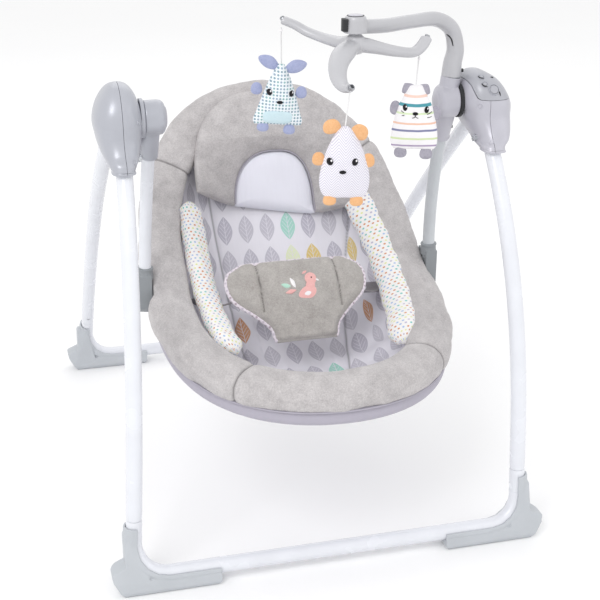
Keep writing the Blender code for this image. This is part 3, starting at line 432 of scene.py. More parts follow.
# ------------------------------------------------------------------ shader nodes
class Tree:
    """Adds nodes to a material or group and joins them."""

    def __init__(self, tree: bpy.types.NodeTree) -> None:
        """Keep the tree to work on."""
        self.tree = tree

    def add(self, kind: str, **settings: object) -> bpy.types.Node:
        """Add a node of a kind and set its plain properties."""
        node = self.tree.nodes.new(kind)
        for key, value in settings.items():
            setattr(node, key, value)
        return node

    def put(self, socket: bpy.types.NodeSocket, value: object) -> None:
        """Join a socket, or set its value."""
        if isinstance(value, bpy.types.NodeSocket):
            self.tree.links.new(value, socket)
        elif isinstance(value, tuple) and len(value) == 3 and socket.type == "RGBA":
            socket.default_value = (*value, 1.0)
        else:
            socket.default_value = value

    def op(self, operation: str, *values: object) -> bpy.types.NodeSocket:
        """Work out one sum."""
        node = self.add("ShaderNodeMath", operation=operation)
        for socket, value in zip(node.inputs, values):
            self.put(socket, value)
        return node.outputs[0]

    def vector(self, operation: str, *values: object) -> bpy.types.NodeSocket:
        """Work out one vector sum."""
        node = self.add("ShaderNodeVectorMath", operation=operation)
        for socket, value in zip(node.inputs, values):
            self.put(socket, value)
        return node.outputs["Value" if operation in ("LENGTH", "DISTANCE", "DOT_PRODUCT") else "Vector"]

    def mix(self, factor: object, first: object, second: object, blend: str = "MIX") -> bpy.types.NodeSocket:
        """Mix two colours."""
        node = self.add("ShaderNodeMix", data_type="RGBA", blend_type=blend)
        self.put(node.inputs[0], factor)
        self.put(node.inputs[6], first)
        self.put(node.inputs[7], second)
        return node.outputs[2]

    def noise(self, vector: object, scale: float, detail: float = 2.0, rough: float = 0.5) -> bpy.types.NodeSocket:
        """Read a noise value of 0 to 1."""
        node = self.add("ShaderNodeTexNoise")
        self.put(node.inputs["Vector"], vector)
        node.inputs["Scale"].default_value = scale
        node.inputs["Detail"].default_value = detail
        node.inputs["Roughness"].default_value = rough
        return node.outputs["Fac"]

    def ramp(self, value: object, *stops: tuple[float, Colour], steps: bool = False) -> bpy.types.NodeSocket:
        """Turn a value into a colour."""
        node = self.add("ShaderNodeValToRGB")
        node.color_ramp.interpolation = "CONSTANT" if steps else "LINEAR"
        while len(node.color_ramp.elements) < len(stops):
            node.color_ramp.elements.new(0.5)
        for element, (place_at, colour) in zip(node.color_ramp.elements, stops):
            element.position = place_at
            element.color = (*colour, 1.0)
        self.put(node.inputs[0], value)
        return node.outputs[0]

    def span(self, value: object, low: float, high: float, to_low: float = 0.0,
             to_high: float = 1.0) -> bpy.types.NodeSocket:
        """Carry a value from one range to another, held at its ends."""
        node = self.add("ShaderNodeMapRange")
        for socket, number in zip(node.inputs, (value, low, high, to_low, to_high)):
            self.put(socket, number)
        return node.outputs[0]

    def split(self, vector: object) -> list[bpy.types.NodeSocket]:
        """Take a vector apart."""
        node = self.add("ShaderNodeSeparateXYZ")
        self.put(node.inputs[0], vector)
        return list(node.outputs)

    def join(self, x: object, y: object, z: object = 0.0) -> bpy.types.NodeSocket:
        """Put a vector together."""
        node = self.add("ShaderNodeCombineXYZ")
        for socket, value in zip(node.inputs, (x, y, z)):
            self.put(socket, value)
        return node.outputs[0]

    def use(self, group: bpy.types.NodeTree, **values: object) -> dict[str, bpy.types.NodeSocket]:
        """Place a group with its own values and give back its outputs by name."""
        node = self.add("ShaderNodeGroup", node_tree=group)
        for key, value in values.items():
            self.put(node.inputs[key.replace("_", " ").title()], value)
        return {socket.name: socket for socket in node.outputs}


class Groups:
    """Shared effects, each built once."""

    made: dict[str, bpy.types.NodeTree] = {}

    @classmethod
    def get(cls, name: str, inputs: Sequence[tuple[str, str, object]], outputs: Sequence[tuple[str, str]],
            fill: Callable[[Tree, dict[str, bpy.types.NodeSocket]], dict[str, object]]) -> bpy.types.NodeTree:
        """Build a node group, or find it.

        Args:
            name: the group's name.
            inputs: name, socket type and standing value of each input.
            outputs: name and socket type of each output.
            fill: adds the nodes and gives back what each output reads.

        Returns:
            The group.
        """
        if name in cls.made:
            return cls.made[name]
        group = bpy.data.node_groups.new(name, "ShaderNodeTree")
        for label, kind, value in inputs:
            socket = group.interface.new_socket(label, in_out="INPUT", socket_type="NodeSocket" + kind)
            if value is not None:
                socket.default_value = value
        for label, kind in outputs:
            group.interface.new_socket(label, in_out="OUTPUT", socket_type="NodeSocket" + kind)
        tree = Tree(group)
        entry = tree.add("NodeGroupInput")
        leave = tree.add("NodeGroupOutput")
        for label, value in fill(tree, {s.name: s for s in entry.outputs if s.name}).items():
            tree.put(leave.inputs[label], value)
        cls.made[name] = group
        return group

    @classmethod
    def moulding(cls) -> bpy.types.NodeTree:
        """Fine moulded or sprayed surface: cloudy tone, rubbed patches and a low grain."""
        def fill(t: Tree, i: dict) -> dict:
            cloud = t.noise(i["Vector"], 22.0, 3.0)
            rub = t.span(t.noise(i["Vector"], 75.0, 4.0, 0.65), 0.56, 0.74)
            grain = t.noise(i["Vector"], 2600.0, 1.0)
            tone = t.mix(t.span(cloud, 0.3, 0.7), i["Deep"], i["Colour"])
            tone = t.mix(t.op("MULTIPLY", rub, i["Wear"]), tone, i["Worn"])
            rough = t.op("ADD", i["Rough"], t.op("MULTIPLY", t.op("SUBTRACT", cloud, 0.5), 0.16))
            height = t.op("ADD", t.op("MULTIPLY", grain, i["Grain"]), t.op("MULTIPLY", cloud, 0.5))
            return {"Colour": tone, "Rough": rough, "Height": height}
        return cls.get("moulding", [("Vector", "Vector", None), ("Colour", "Color", None), ("Deep", "Color", None),
                                    ("Worn", "Color", None), ("Wear", "Float", 0.1), ("Rough", "Float", 0.4),
                                    ("Grain", "Float", 0.5)],
                       [("Colour", "Color"), ("Rough", "Float"), ("Height", "Float")], fill)

    @classmethod
    def pile(cls) -> bpy.types.NodeTree:
        """Short plush pile: fine tufts, brushed patches that lie both ways, and broad shading."""
        def fill(t: Tree, i: dict) -> dict:
            tuft = t.noise(i["Vector"], 1150.0, 2.0, 0.7)
            fleck = t.noise(i["Vector"], 420.0, 3.0, 0.7)
            brushed = t.noise(t.vector("MULTIPLY", i["Vector"], (1.0, 0.55, 1.3)), 62.0, 3.0, 0.6)
            broad = t.noise(i["Vector"], 17.0, 2.0)
            level = t.op("ADD", t.op("MULTIPLY", tuft, 0.34), t.op("MULTIPLY", fleck, 0.30))
            level = t.op("ADD", level, t.op("MULTIPLY", brushed, 0.24))
            level = t.op("ADD", level, t.op("MULTIPLY", broad, 0.12))
            tone = t.mix(t.span(level, 0.36, 0.63), i["Deep"], i["Colour"])
            height = t.op("ADD", t.op("MULTIPLY", tuft, 0.45), t.op("ADD", t.op("MULTIPLY", fleck, 0.6),
                                                                    t.op("MULTIPLY", brushed, 1.1)))
            return {"Colour": tone, "Height": height, "Level": level}
        return cls.get("plush_pile", [("Vector", "Vector", None), ("Colour", "Color", None),
                                      ("Deep", "Color", None)],
                       [("Colour", "Color"), ("Height", "Float"), ("Level", "Float")], fill)

    @classmethod
    def weave(cls) -> bpy.types.NodeTree:
        """Plain woven cotton on a map in metres: crossing threads and a slight slub."""
        def fill(t: Tree, i: dict) -> dict:
            u, v, _ = t.split(i["Vector"])
            rate = t.op("MULTIPLY", i["Threads"], TAU)
            a = t.op("SINE", t.op("MULTIPLY", u, rate))
            b = t.op("SINE", t.op("MULTIPLY", v, rate))
            height = t.op("MULTIPLY", t.op("ADD", t.op("MULTIPLY", a, b), 1.0), 0.5)
            slub = t.noise(t.vector("MULTIPLY", i["Vector"], (240.0, 30.0, 1.0)), 1.0, 2.0)
            shade = t.op("ADD", t.op("MULTIPLY", height, 0.05), t.op("MULTIPLY", slub, 0.10))
            return {"Height": t.op("ADD", height, t.op("MULTIPLY", slub, 0.8)), "Shade": shade}
        return cls.get("weave", [("Vector", "Vector", None), ("Threads", "Float", 1200.0)],
                       [("Height", "Float"), ("Shade", "Float")], fill)

    @classmethod
    def dots(cls) -> bpy.types.NodeTree:
        """Rows of round dots, every other row moved by half a step, each of a colour of its own."""
        def fill(t: Tree, i: dict) -> dict:
            u, v, _ = t.split(i["Vector"])
            step = i["Step"]
            row = t.op("ROUND", t.op("DIVIDE", v, step))
            shift = t.op("MULTIPLY", t.op("MULTIPLY", t.op("PINGPONG", row, 1.0), 0.5), i["Stagger"])
            along = t.op("SUBTRACT", t.op("DIVIDE", u, step), shift)
            column = t.op("ROUND", along)
            dx = t.op("SUBTRACT", along, column)
            dy = t.op("SUBTRACT", t.op("DIVIDE", v, step), row)
            far = t.vector("LENGTH", t.join(dx, dy))
            mask = t.span(far, t.op("SUBTRACT", i["Size"], 0.05), t.op("ADD", i["Size"], 0.03), 1.0, 0.0)
            pick = t.add("ShaderNodeTexWhiteNoise", noise_dimensions="2D")
            t.put(pick.inputs["Vector"], t.join(column, row))
            return {"Mask": mask, "Pick": pick.outputs["Value"]}
        return cls.get("dot_print", [("Vector", "Vector", None), ("Step", "Float", 0.007), ("Size", "Float", 0.2),
                                     ("Stagger", "Float", 1.0)],
                       [("Mask", "Float"), ("Pick", "Float")], fill)

    @classmethod
    def leaves(cls) -> bpy.types.NodeTree:
        """Rows of pointed leaves with pale veins; a few named leaves have colours of their own."""
        cell_wide, cell_high = 0.034, 0.048
        half_wide, half_high = 0.0120, 0.0205
        grey, lilac, vein = rgb(204, 201, 211), rgb(190, 187, 201), rgb(234, 232, 240)
        mint, yellow, lime = rgb(160, 218, 203), rgb(229, 200, 108), rgb(233, 241, 200)
        orange = rgb(212, 150, 98)
        special = ((0, 0, mint), (1, -1, yellow), (0, -1, lime), (3, -1, yellow), (-4, -3, yellow),
                   (-3, -3, orange), (3, -3, orange), (1, -5, mint), (4, 0, mint), (-5, 0, yellow),
                   (-2, 2, mint), (2, 3, yellow), (-5, -5, mint), (5, -4, yellow), (-1, -7, yellow))

        def fill(t: Tree, i: dict) -> dict:
            u, v, _ = t.split(i["Vector"])
            high = t.op("DIVIDE", v, cell_high)
            row = t.op("ROUND", high)
            seat = t.op("LESS_THAN", row, -3.5)
            stagger = t.op("MULTIPLY", t.op("MULTIPLY", t.op("PINGPONG", row, 1.0), 0.5), seat)
            wide = t.op("ADD", t.op("DIVIDE", u, cell_wide), stagger)
            column = t.op("ROUND", wide)
            x = t.op("MULTIPLY", t.op("SUBTRACT", wide, column), cell_wide)
            y = t.op("MULTIPLY", t.op("SUBTRACT", high, row), cell_high)
            across = t.op("ABSOLUTE", x)
            bow = t.op("POWER", t.op("ABSOLUTE", t.op("DIVIDE", y, half_high)), 1.9)
            edge = t.op("ADD", t.op("DIVIDE", across, half_wide), bow)
            mask = t.span(edge, 0.96, 1.02, 1.0, 0.0)
            rib = t.span(across, 0.00035, 0.0008, 1.0, 0.0)
            side = t.op("FRACT", t.op("DIVIDE", t.op("SUBTRACT", y, t.op("MULTIPLY", across, 1.25)), 0.0068))
            side = t.span(t.op("ABSOLUTE", t.op("SUBTRACT", side, 0.5)), 0.05, 0.13, 1.0, 0.0)
            side = t.op("MULTIPLY", side, t.span(edge, 0.72, 0.86, 1.0, 0.0))
            veins = t.op("MAXIMUM", t.op("MULTIPLY", rib, t.op("LESS_THAN", edge, 0.9)), side)
            pick = t.add("ShaderNodeTexWhiteNoise", noise_dimensions="2D")
            spot = t.join(column, row)
            t.put(pick.inputs["Vector"], spot)
            tone = t.mix(pick.outputs["Value"], grey, lilac)
            for at_column, at_row, colour in special:
                near = t.op("LESS_THAN", t.vector("DISTANCE", spot, (at_column, at_row, 0.0)), 0.4)
                tone = t.mix(near, tone, colour)
            hatch = t.noise(t.vector("MULTIPLY", i["Vector"], (900.0, 260.0, 1.0)), 1.0, 2.0)
            tone = t.mix(t.span(hatch, 0.35, 0.75, 0.0, 0.22), tone, vein)
            tone = t.mix(t.op("MULTIPLY", veins, 0.8), tone, vein)
            return {"Mask": mask, "Colour": tone}
        return cls.get("leaf_print", [("Vector", "Vector", None)], [("Mask", "Float"), ("Colour", "Color")], fill)


class Finish:
    """A material that is made once and shared by its pieces."""

    made: dict[str, bpy.types.Material] = {}
    name: str

    def material(self) -> bpy.types.Material:
        """Make the material, or find it."""
        if self.name not in Finish.made:
            made = bpy.data.materials.new(self.name)
            made.use_nodes = True
            tree = Tree(made.node_tree)
            shader = made.node_tree.nodes["Principled BSDF"]
            self.fill(tree, shader)
            Finish.made[self.name] = made
        return Finish.made[self.name]

    def fill(self, t: Tree, shader: bpy.types.Node) -> None:
        """Add this finish's nodes."""
        raise NotImplementedError

    @staticmethod
    def bump(t: Tree, shader: bpy.types.Node, height: object, strength: float, distance: float) -> None:
        """Raise the surface by a height map."""
        node = t.add("ShaderNodeBump")
        node.inputs["Strength"].default_value = strength
        node.inputs["Distance"].default_value = distance
        t.put(node.inputs["Height"], height)
        t.put(shader.inputs["Normal"], node.outputs["Normal"])


@dataclass(frozen=True)
class Moulded(Finish):
    """Painted metal, moulded plastic and plated steel."""

    name: str
    colour: Colour
    roughness: float = 0.4
    metallic: float = 0.0
    deep: float = 0.94
    wear: float = 0.10
    grain: float = 0.5
    bump_strength: float = 0.12
    coat: float = 0.0
    clear: float = 0.0

    def fill(self, t: Tree, shader: bpy.types.Node) -> None:
        """Mottle, rub and grain the colour."""
        where = t.add("ShaderNodeTexCoord").outputs["Object"]
        out = t.use(Groups.moulding(), vector=where, colour=self.colour,
                    deep=tuple(c * self.deep for c in self.colour),
                    worn=tuple(min(c * 1.12 + 0.01, 1.0) for c in self.colour),
                    wear=self.wear, rough=self.roughness, grain=self.grain)
        t.put(shader.inputs["Base Color"], out["Colour"])
        t.put(shader.inputs["Roughness"], out["Rough"])
        shader.inputs["Metallic"].default_value = self.metallic
        shader.inputs["Coat Weight"].default_value = self.coat
        shader.inputs["Coat Roughness"].default_value = 0.18
        shader.inputs["Transmission Weight"].default_value = self.clear
        self.bump(t, shader, out["Height"], self.bump_strength, 0.0002)


@dataclass(frozen=True)
class Plush(Finish):
    """Short-pile plush."""

    name: str
    colour: Colour
    deep: Colour
    pile_bump: float = 0.75

    def fill(self, t: Tree, shader: bpy.types.Node) -> None:
        """Tuft the colour, and darken it along sewn lines."""
        where = t.add("ShaderNodeTexCoord").outputs["Object"]
        out = t.use(Groups.pile(), vector=where, colour=self.colour, deep=self.deep)
        seam = t.add("ShaderNodeAttribute", attribute_name="seam").outputs["Fac"]
        tone = t.mix(t.op("MULTIPLY", seam, 0.72), out["Colour"], tuple(c * 0.30 for c in self.deep))
        t.put(shader.inputs["Base Color"], tone)
        shader.inputs["Roughness"].default_value = 0.95
        shader.inputs["Specular IOR Level"].default_value = 0.2
        shader.inputs["Sheen Weight"].default_value = 0.22
        shader.inputs["Sheen Roughness"].default_value = 0.45
        self.bump(t, shader, out["Height"], self.pile_bump, 0.0011)


class Print(Enum):
    """What is printed on a cotton."""

    PLAIN = "plain"
    LEAVES = "leaves"
    BOLSTER_DOTS = "bolster dots"
    SMALL_DOTS = "small dots"
    HERRINGBONE = "herringbone"
    STRIPES = "stripes"
    BINDING = "binding"


@dataclass(frozen=True)
class Cotton(Finish):
    """Woven cotton with a print, on a map in metres."""

    name: str
    colour: Colour
    pattern: Print = Print.PLAIN
    threads: float = 1100.0
    bump_strength: float = 0.35

    def printed(self, t: Tree, where: bpy.types.NodeSocket) -> object:
        """Give the print's colour over the cloth's own."""
        ground: object = self.colour
        if self.pattern is Print.LEAVES:
            out = t.use(Groups.leaves(), vector=where)
            return t.mix(out["Mask"], ground, out["Colour"])
        if self.pattern is Print.BOLSTER_DOTS:
            out = t.use(Groups.dots(), vector=where, step=0.0064, size=0.25, stagger=1.0)
            tone = t.ramp(out["Pick"], (0.0, rgb(206, 138, 92)), (0.26, rgb(120, 196, 190)),
                          (0.44, rgb(160, 186, 224)), (0.62, rgb(222, 226, 150)), (0.80, rgb(190, 184, 206)),
                          steps=True)
            return t.mix(out["Mask"], ground, tone)
        if self.pattern is Print.SMALL_DOTS:
            out = t.use(Groups.dots(), vector=where, step=0.0043, size=0.33, stagger=0.0)
            tone = t.ramp(out["Pick"], (0.0, rgb(128, 158, 172)), (0.55, rgb(150, 170, 190)),
                          (0.8, rgb(140, 180, 180)), steps=True)
            return t.mix(out["Mask"], ground, tone)
        if self.pattern is Print.HERRINGBONE:
            u, v, _ = t.split(where)
            fold = t.op("PINGPONG", u, 0.0080)
            line = t.op("FRACT", t.op("DIVIDE", t.op("SUBTRACT", v, t.op("MULTIPLY", fold, 1.2)), 0.0034))
            mask = t.span(t.op("ABSOLUTE", t.op("SUBTRACT", line, 0.5)), 0.14, 0.30, 1.0, 0.0)
            return t.mix(mask, ground, rgb(204, 201, 216))
        if self.pattern is Print.STRIPES:
            return self.stripes(t, where)
        if self.pattern is Print.BINDING:
            out = t.use(Groups.dots(), vector=where, step=0.0060, size=0.30, stagger=1.0)
            tone = t.ramp(out["Pick"], (0.0, rgb(176, 160, 172)), (0.5, rgb(200, 192, 204)), steps=True)
            return t.mix(out["Mask"], ground, tone)
        return ground

    def stripes(self, t: Tree, where: bpy.types.NodeSocket) -> object:
        """Lay coloured bands across the striped toy; the map's height runs from 0 at its top to 1."""
        bands = ((0.150, 0.020, rgb(240, 205, 190)), (0.285, 0.026, rgb(52, 146, 160)),
                 (0.415, 0.016, rgb(215, 232, 190)), (0.575, 0.015, rgb(236, 190, 165)),
                 (0.685, 0.017, rgb(118, 122, 160)), (0.820, 0.016, rgb(208, 224, 170)),
                 (0.935, 0.015, rgb(166, 148, 180)))
        down = t.split(where)[1]
        wavy = t.op("ADD", down, t.op("MULTIPLY", t.op("SUBTRACT", t.noise(where, 3.0), 0.5), 0.02))
        tone: object = self.colour
        for middle, half, colour in bands:
            far = t.op("ABSOLUTE", t.op("SUBTRACT", wavy, middle))
            tone = t.mix(t.span(far, half * 0.8, half * 1.1, 1.0, 0.0), tone, colour)
        return tone

    def fill(self, t: Tree, shader: bpy.types.Node) -> None:
        """Weave the cloth, print it and darken its seams; on the liner this darkening also holds painted shade in the
        crease where the back meets the seat.
        """
        where = t.add("ShaderNodeTexCoord").outputs["UV"]
        place_at = t.add("ShaderNodeTexCoord").outputs["Object"]
        woven = t.use(Groups.weave(), vector=place_at if self.pattern is Print.STRIPES else where,
                      threads=self.threads)
        tone = self.printed(t, where)
        soil = t.noise(place_at, 30.0, 3.0)
        tone = t.mix(t.op("ADD", woven["Shade"], t.span(soil, 0.3, 0.8, 0.0, 0.05)), tone,
                     tuple(c * 0.55 for c in self.colour))
        # The seam attribute darkens sewn lines; on the liner it also carries painted shade in the back-to-seat crease.
        seam = t.add("ShaderNodeAttribute", attribute_name="seam").outputs["Fac"]
        tone = t.mix(t.op("MULTIPLY", seam, 0.70), tone, tuple(c * 0.22 for c in self.colour))
        t.put(shader.inputs["Base Color"], tone)
        shader.inputs["Roughness"].default_value = 0.88
        shader.inputs["Specular IOR Level"].default_value = 0.25
        shader.inputs["Sheen Weight"].default_value = 0.12
        self.bump(t, shader, woven["Height"], self.bump_strength, 0.00035)


WHITE_PAINT = Moulded("white_powder_coat", rgb(226, 228, 234), 0.26, coat=0.25, wear=0.04, grain=0.25,
                      bump_strength=0.08)
SHOE_GREY = Moulded("pale_grey_shoe", rgb(188, 192, 197), 0.46, wear=0.14, grain=0.9, bump_strength=0.22)
SILVER = Moulded("silver_grey_plastic", rgb(176, 178, 186), 0.34, metallic=0.25, coat=0.2, wear=0.10)
PALE_SILVER = Moulded("pale_silver_plastic", rgb(188, 187, 196), 0.34, metallic=0.15, coat=0.2, wear=0.08)
LID_GREY = Moulded("lid_grey", rgb(172, 173, 180), 0.38, metallic=0.15, coat=0.2)
BAR_GREY = Moulded("toy_bar_grey", rgb(186, 186, 190), 0.36, metallic=0.1, coat=0.25, wear=0.08)
ARM_GREY = Moulded("arm_grey", rgb(196, 200, 204), 0.32, metallic=0.1, coat=0.2)
DARK = Moulded("dark_bracket", rgb(138, 142, 146), 0.42, wear=0.16, grain=0.8)
BLACK = Moulded("black_rubber", rgb(34, 35, 38), 0.55, wear=0.15, grain=0.8)
STEEL = Moulded("zinc_plate", rgb(176, 178, 182), 0.30, metallic=1.0, wear=0.25)
CLEAR = Moulded("clear_button", rgb(235, 238, 242), 0.12, clear=0.7, wear=0.02, coat=0.3)
NYLON_WHITE = Moulded("nylon", rgb(232, 230, 222), 0.45)
BOARD = Moulded("circuit_board", rgb(42, 120, 76), 0.45)
COPPER = Moulded("copper_wire", rgb(200, 120, 78), 0.32, metallic=1.0)
PLUSH = Plush("taupe_plush", rgb(207, 203, 203), rgb(158, 154, 155))
PAD_PLUSH = Plush("grey_plush", rgb(190, 186, 182), rgb(146, 141, 138), 0.6)
LINER = Cotton("leaf_cotton", rgb(240, 238, 246), Print.LEAVES, 900.0)
UNDERSIDE = Cotton("lilac_grey_cotton", rgb(178, 174, 186), Print.PLAIN, 800.0)
DOME = Cotton("white_cotton", rgb(238, 238, 248), Print.PLAIN, 1000.0)
DOTTED = Cotton("dotted_cotton", rgb(243, 241, 240), Print.BOLSTER_DOTS)
BINDING = Cotton("printed_binding", rgb(228, 220, 228), Print.BINDING)
WEBBING = Cotton("grey_webbing", rgb(150, 146, 150), Print.PLAIN, 420.0, 0.8)
TOY_DOTS = Cotton("blue_dotted_cotton", rgb(236, 242, 246), Print.SMALL_DOTS)
TOY_CHEVRON = Cotton("herringbone_cotton", rgb(240, 238, 244), Print.HERRINGBONE)
TOY_STRIPES = Cotton("striped_cotton", rgb(243, 241, 243), Print.STRIPES)
PERIWINKLE = Plush("periwinkle_felt", rgb(172, 178, 208), rgb(146, 154, 190), 0.3)
ORANGE_FELT = Plush("orange_felt", rgb(236, 188, 142), rgb(216, 162, 112), 0.3)
GREY_FELT = Plush("grey_felt", rgb(176, 173, 184), rgb(144, 141, 154), 0.3)
MINT_FELT = Plush("mint_felt", rgb(208, 228, 234), rgb(192, 216, 224), 0.25)
BLACK_THREAD = Plush("black_thread", rgb(40, 38, 42), rgb(18, 18, 20), 0.3)
WHITE_THREAD = Plush("white_thread", rgb(245, 243, 243), rgb(222, 220, 224), 0.3)
PINK_THREAD = Plush("pink_thread", rgb(236, 186, 182), rgb(220, 166, 164), 0.6)
MINT_THREAD = Plush("mint_thread", rgb(190, 224, 208), rgb(160, 200, 184), 0.5)
STRING = Cotton("white_string", rgb(238, 238, 238), Print.PLAIN, 900.0, 0.6)


def mark_seams_and_crease_shade(piece: bpy.types.Object, values: Array) -> None:
    """Store a darkening value for each vertex, from 0 to 1: how close it is to a sewn line, and on the liner also
    painted shade in the crease where the back meets the seat.
    """
    attribute = piece.data.attributes.new("seam", "FLOAT", "POINT")
    full = np.zeros(len(piece.data.vertices), np.float32)
    flat = np.asarray(values, np.float32).ravel()
    full[:len(flat)] = flat
    attribute.data.foreach_set("value", full)


# ------------------------------------------------------------------ stage
@dataclass
class Stage:
    """Floor, lights and camera."""

    lens_mm: float = 70.95
    place: tuple[float, float, float] = (-0.414, -1.694, 0.980)
    tilt: tuple[float, float] = (67.84, -14.18)
    shift: tuple[float, float] = (0.0254, -0.0046)

    def build(self) -> None:
        """Add the camera, the soft lights, the white room and the floor."""
        scene = bpy.context.scene
        data = bpy.data.cameras.new("camera")
        data.lens, data.sensor_width = self.lens_mm, 36.0
        data.shift_x, data.shift_y = self.shift
        camera = bpy.data.objects.new("camera", data)
        camera.location = self.place
        camera.rotation_euler = (math.radians(self.tilt[0]), 0.0, math.radians(self.tilt[1]))
        scene.collection.objects.link(camera)
        scene.camera = camera
        scene.view_settings.view_transform = "Standard"
        world = bpy.data.worlds.new("white_room")
        world.use_nodes = True
        world.node_tree.nodes["Background"].inputs["Color"].default_value = (1.0, 1.0, 1.0, 1.0)
        world.node_tree.nodes["Background"].inputs["Strength"].default_value = 1.0
        scene.world = world
        for name, spot, size, power in (("key", (-1.5, -1.9, 2.5), 1.2, 26.0), ("fill", (2.2, -1.6, 1.6), 2.0, 5.0),
                                        ("back", (0.5, 2.4, 2.4), 2.2, 8.0)):
            light = bpy.data.lights.new(name, "AREA")
            light.energy, light.size = power, size
            lamp = bpy.data.objects.new(name, light)
            lamp.location = spot
            aim = np.array([0.0, 0.0, 0.35]) - np.array(spot)
            flat = math.hypot(aim[0], aim[1])
            lamp.rotation_euler = (math.atan2(flat, -aim[2]), 0.0, math.atan2(aim[1], aim[0]) - math.pi / 2)
            scene.collection.objects.link(lamp)
        self.floor()

    @staticmethod
    def floor() -> None:
        """Add the pale floor."""
        half = 9.0
        mesh = bpy.data.meshes.new("floor")
        mesh.from_pydata([(-half, -half, -0.0005), (half, -half, -0.0005), (half, half, -0.0005),
                          (-half, half, -0.0005)], [], [(0, 1, 2, 3)])
        floor = bpy.data.objects.new("floor", mesh)
        bpy.context.scene.collection.objects.link(floor)
        finish = bpy.data.materials.new("pale_floor")
        finish.use_nodes = True
        tree = Tree(finish.node_tree)
        shader = finish.node_tree.nodes["Principled BSDF"]
        cloud = tree.noise(tree.add("ShaderNodeTexCoord").outputs["Object"], 1.5)
        tree.put(shader.inputs["Base Color"], tree.mix(cloud, (0.93, 0.93, 0.935), (0.95, 0.95, 0.95)))
        shader.inputs["Roughness"].default_value = 0.9
        shader.inputs["Specular IOR Level"].default_value = 0.1
        mesh.materials.append(finish)


# ------------------------------------------------------------------ base frame
@dataclass
class Leg:
    """One pair of legs with its base bar and shoes."""

    name: str
    body: Body
    top: float
    bar_y: float
    radius: float = 0.011
    wall: float = 0.0012
    bar_height: float = 0.0225
    corner: float = 0.045
    joint: float = 0.106

    def at(self, height: Array) -> Array:
        """Centre of the right leg at heights."""
        height = np.asarray(height, float)
        if self.body is Body.BASE:
            bow = np.maximum(height - 0.13, 0.0) / 0.45
            return np.stack([0.2834 - 0.0528 * height, -0.1665 + 0.13 * bow**2.6, height], -1)
        drop = 0.59 - height
        inset = 0.006 * (np.maximum(height - 0.40, 0.0) / 0.19) ** 2
        return np.stack([0.2753 - 0.0125 * height - inset, 0.02 + 1.338 * drop - 0.6 * drop**2, height], -1)

    def corner_path(self, top: float, steps: int = 22) -> Array:
        """Follow the right side of the base bar from a height on the leg round the corner onto the bar."""
        bend_top = self.bar_height + self.corner
        start = self.at(bend_top)
        upper = self.at(np.linspace(top, bend_top + 0.002, 14))
        turn = np.linspace(0, math.pi / 2, steps)
        bend = np.stack([start[0] - self.corner * (1 - np.cos(turn)),
                         start[1] + (self.bar_y - start[1]) * np.sin(turn),
                         bend_top - self.corner * np.sin(turn)], -1)
        return np.vstack([upper, bend])

    def build(self) -> None:
        """Make the legs, the base bar and the shoes."""
        mirror = np.array([-1.0, 1.0, 1.0])
        for side in Side:
            heights = np.linspace(self.joint + 0.0008, self.top + 0.0008, 64)
            path = self.at(heights) * (1 if side is Side.RIGHT else mirror)
            radii = np.full(len(path), self.radius)
            radii[0] -= 0.0006
            make_object(f"{side.label}_{self.name}_leg_tube", tube(path, radii, self.wall), self.body, WHITE_PAINT,
                        f"{side.label}_{self.name}_leg", slot="white_paint")
            self.shoe(side)
        right = self.corner_path(self.joint)
        left = right * mirror
        middle = np.linspace(left[-1], right[-1], 26)[1:-1]
        path = np.vstack([left, middle, right[::-1]])
        radii = np.full(len(path), self.radius)
        radii[[0, -1]] -= 0.0008
        bar = tube(path, radii, self.wall)
        for ends in (right, left):
            plug = np.linspace(ends[0] + (ends[0] - ends[1]) * 2.0, ends[0] - (ends[0] - ends[1]), 5)
            bar = bar + skin(sweep(plug, 0.0090, 24))
        make_object(self.name + "_base_tube", bar, self.body, WHITE_PAINT, self.name + "_base_bar",
                    slot="white_paint")

    def shoe(self, side: Side) -> None:
        """Cut a slanted block off the CAD shoe's outer upper part and round its edges."""
        node = f"{side.label}_{self.name}_foot"
        shoe = copy_of(node)
        outline = [(side.value * x, z) for x, z in ((0.2945, 0.125), (0.2945, 0.043), (0.3300, 0.0275),
                                                   (0.3300, 0.125))]
        carve(shoe, prism(outline, -0.45, 0.75))
        fuse(shoe, 0.0010, 3)
        shoe.name = f"{side.label}_{self.name}_shoe"
        place(shoe, self.body, SHOE_GREY, node, sharp=60.0, slot="pale_grey_plastic")


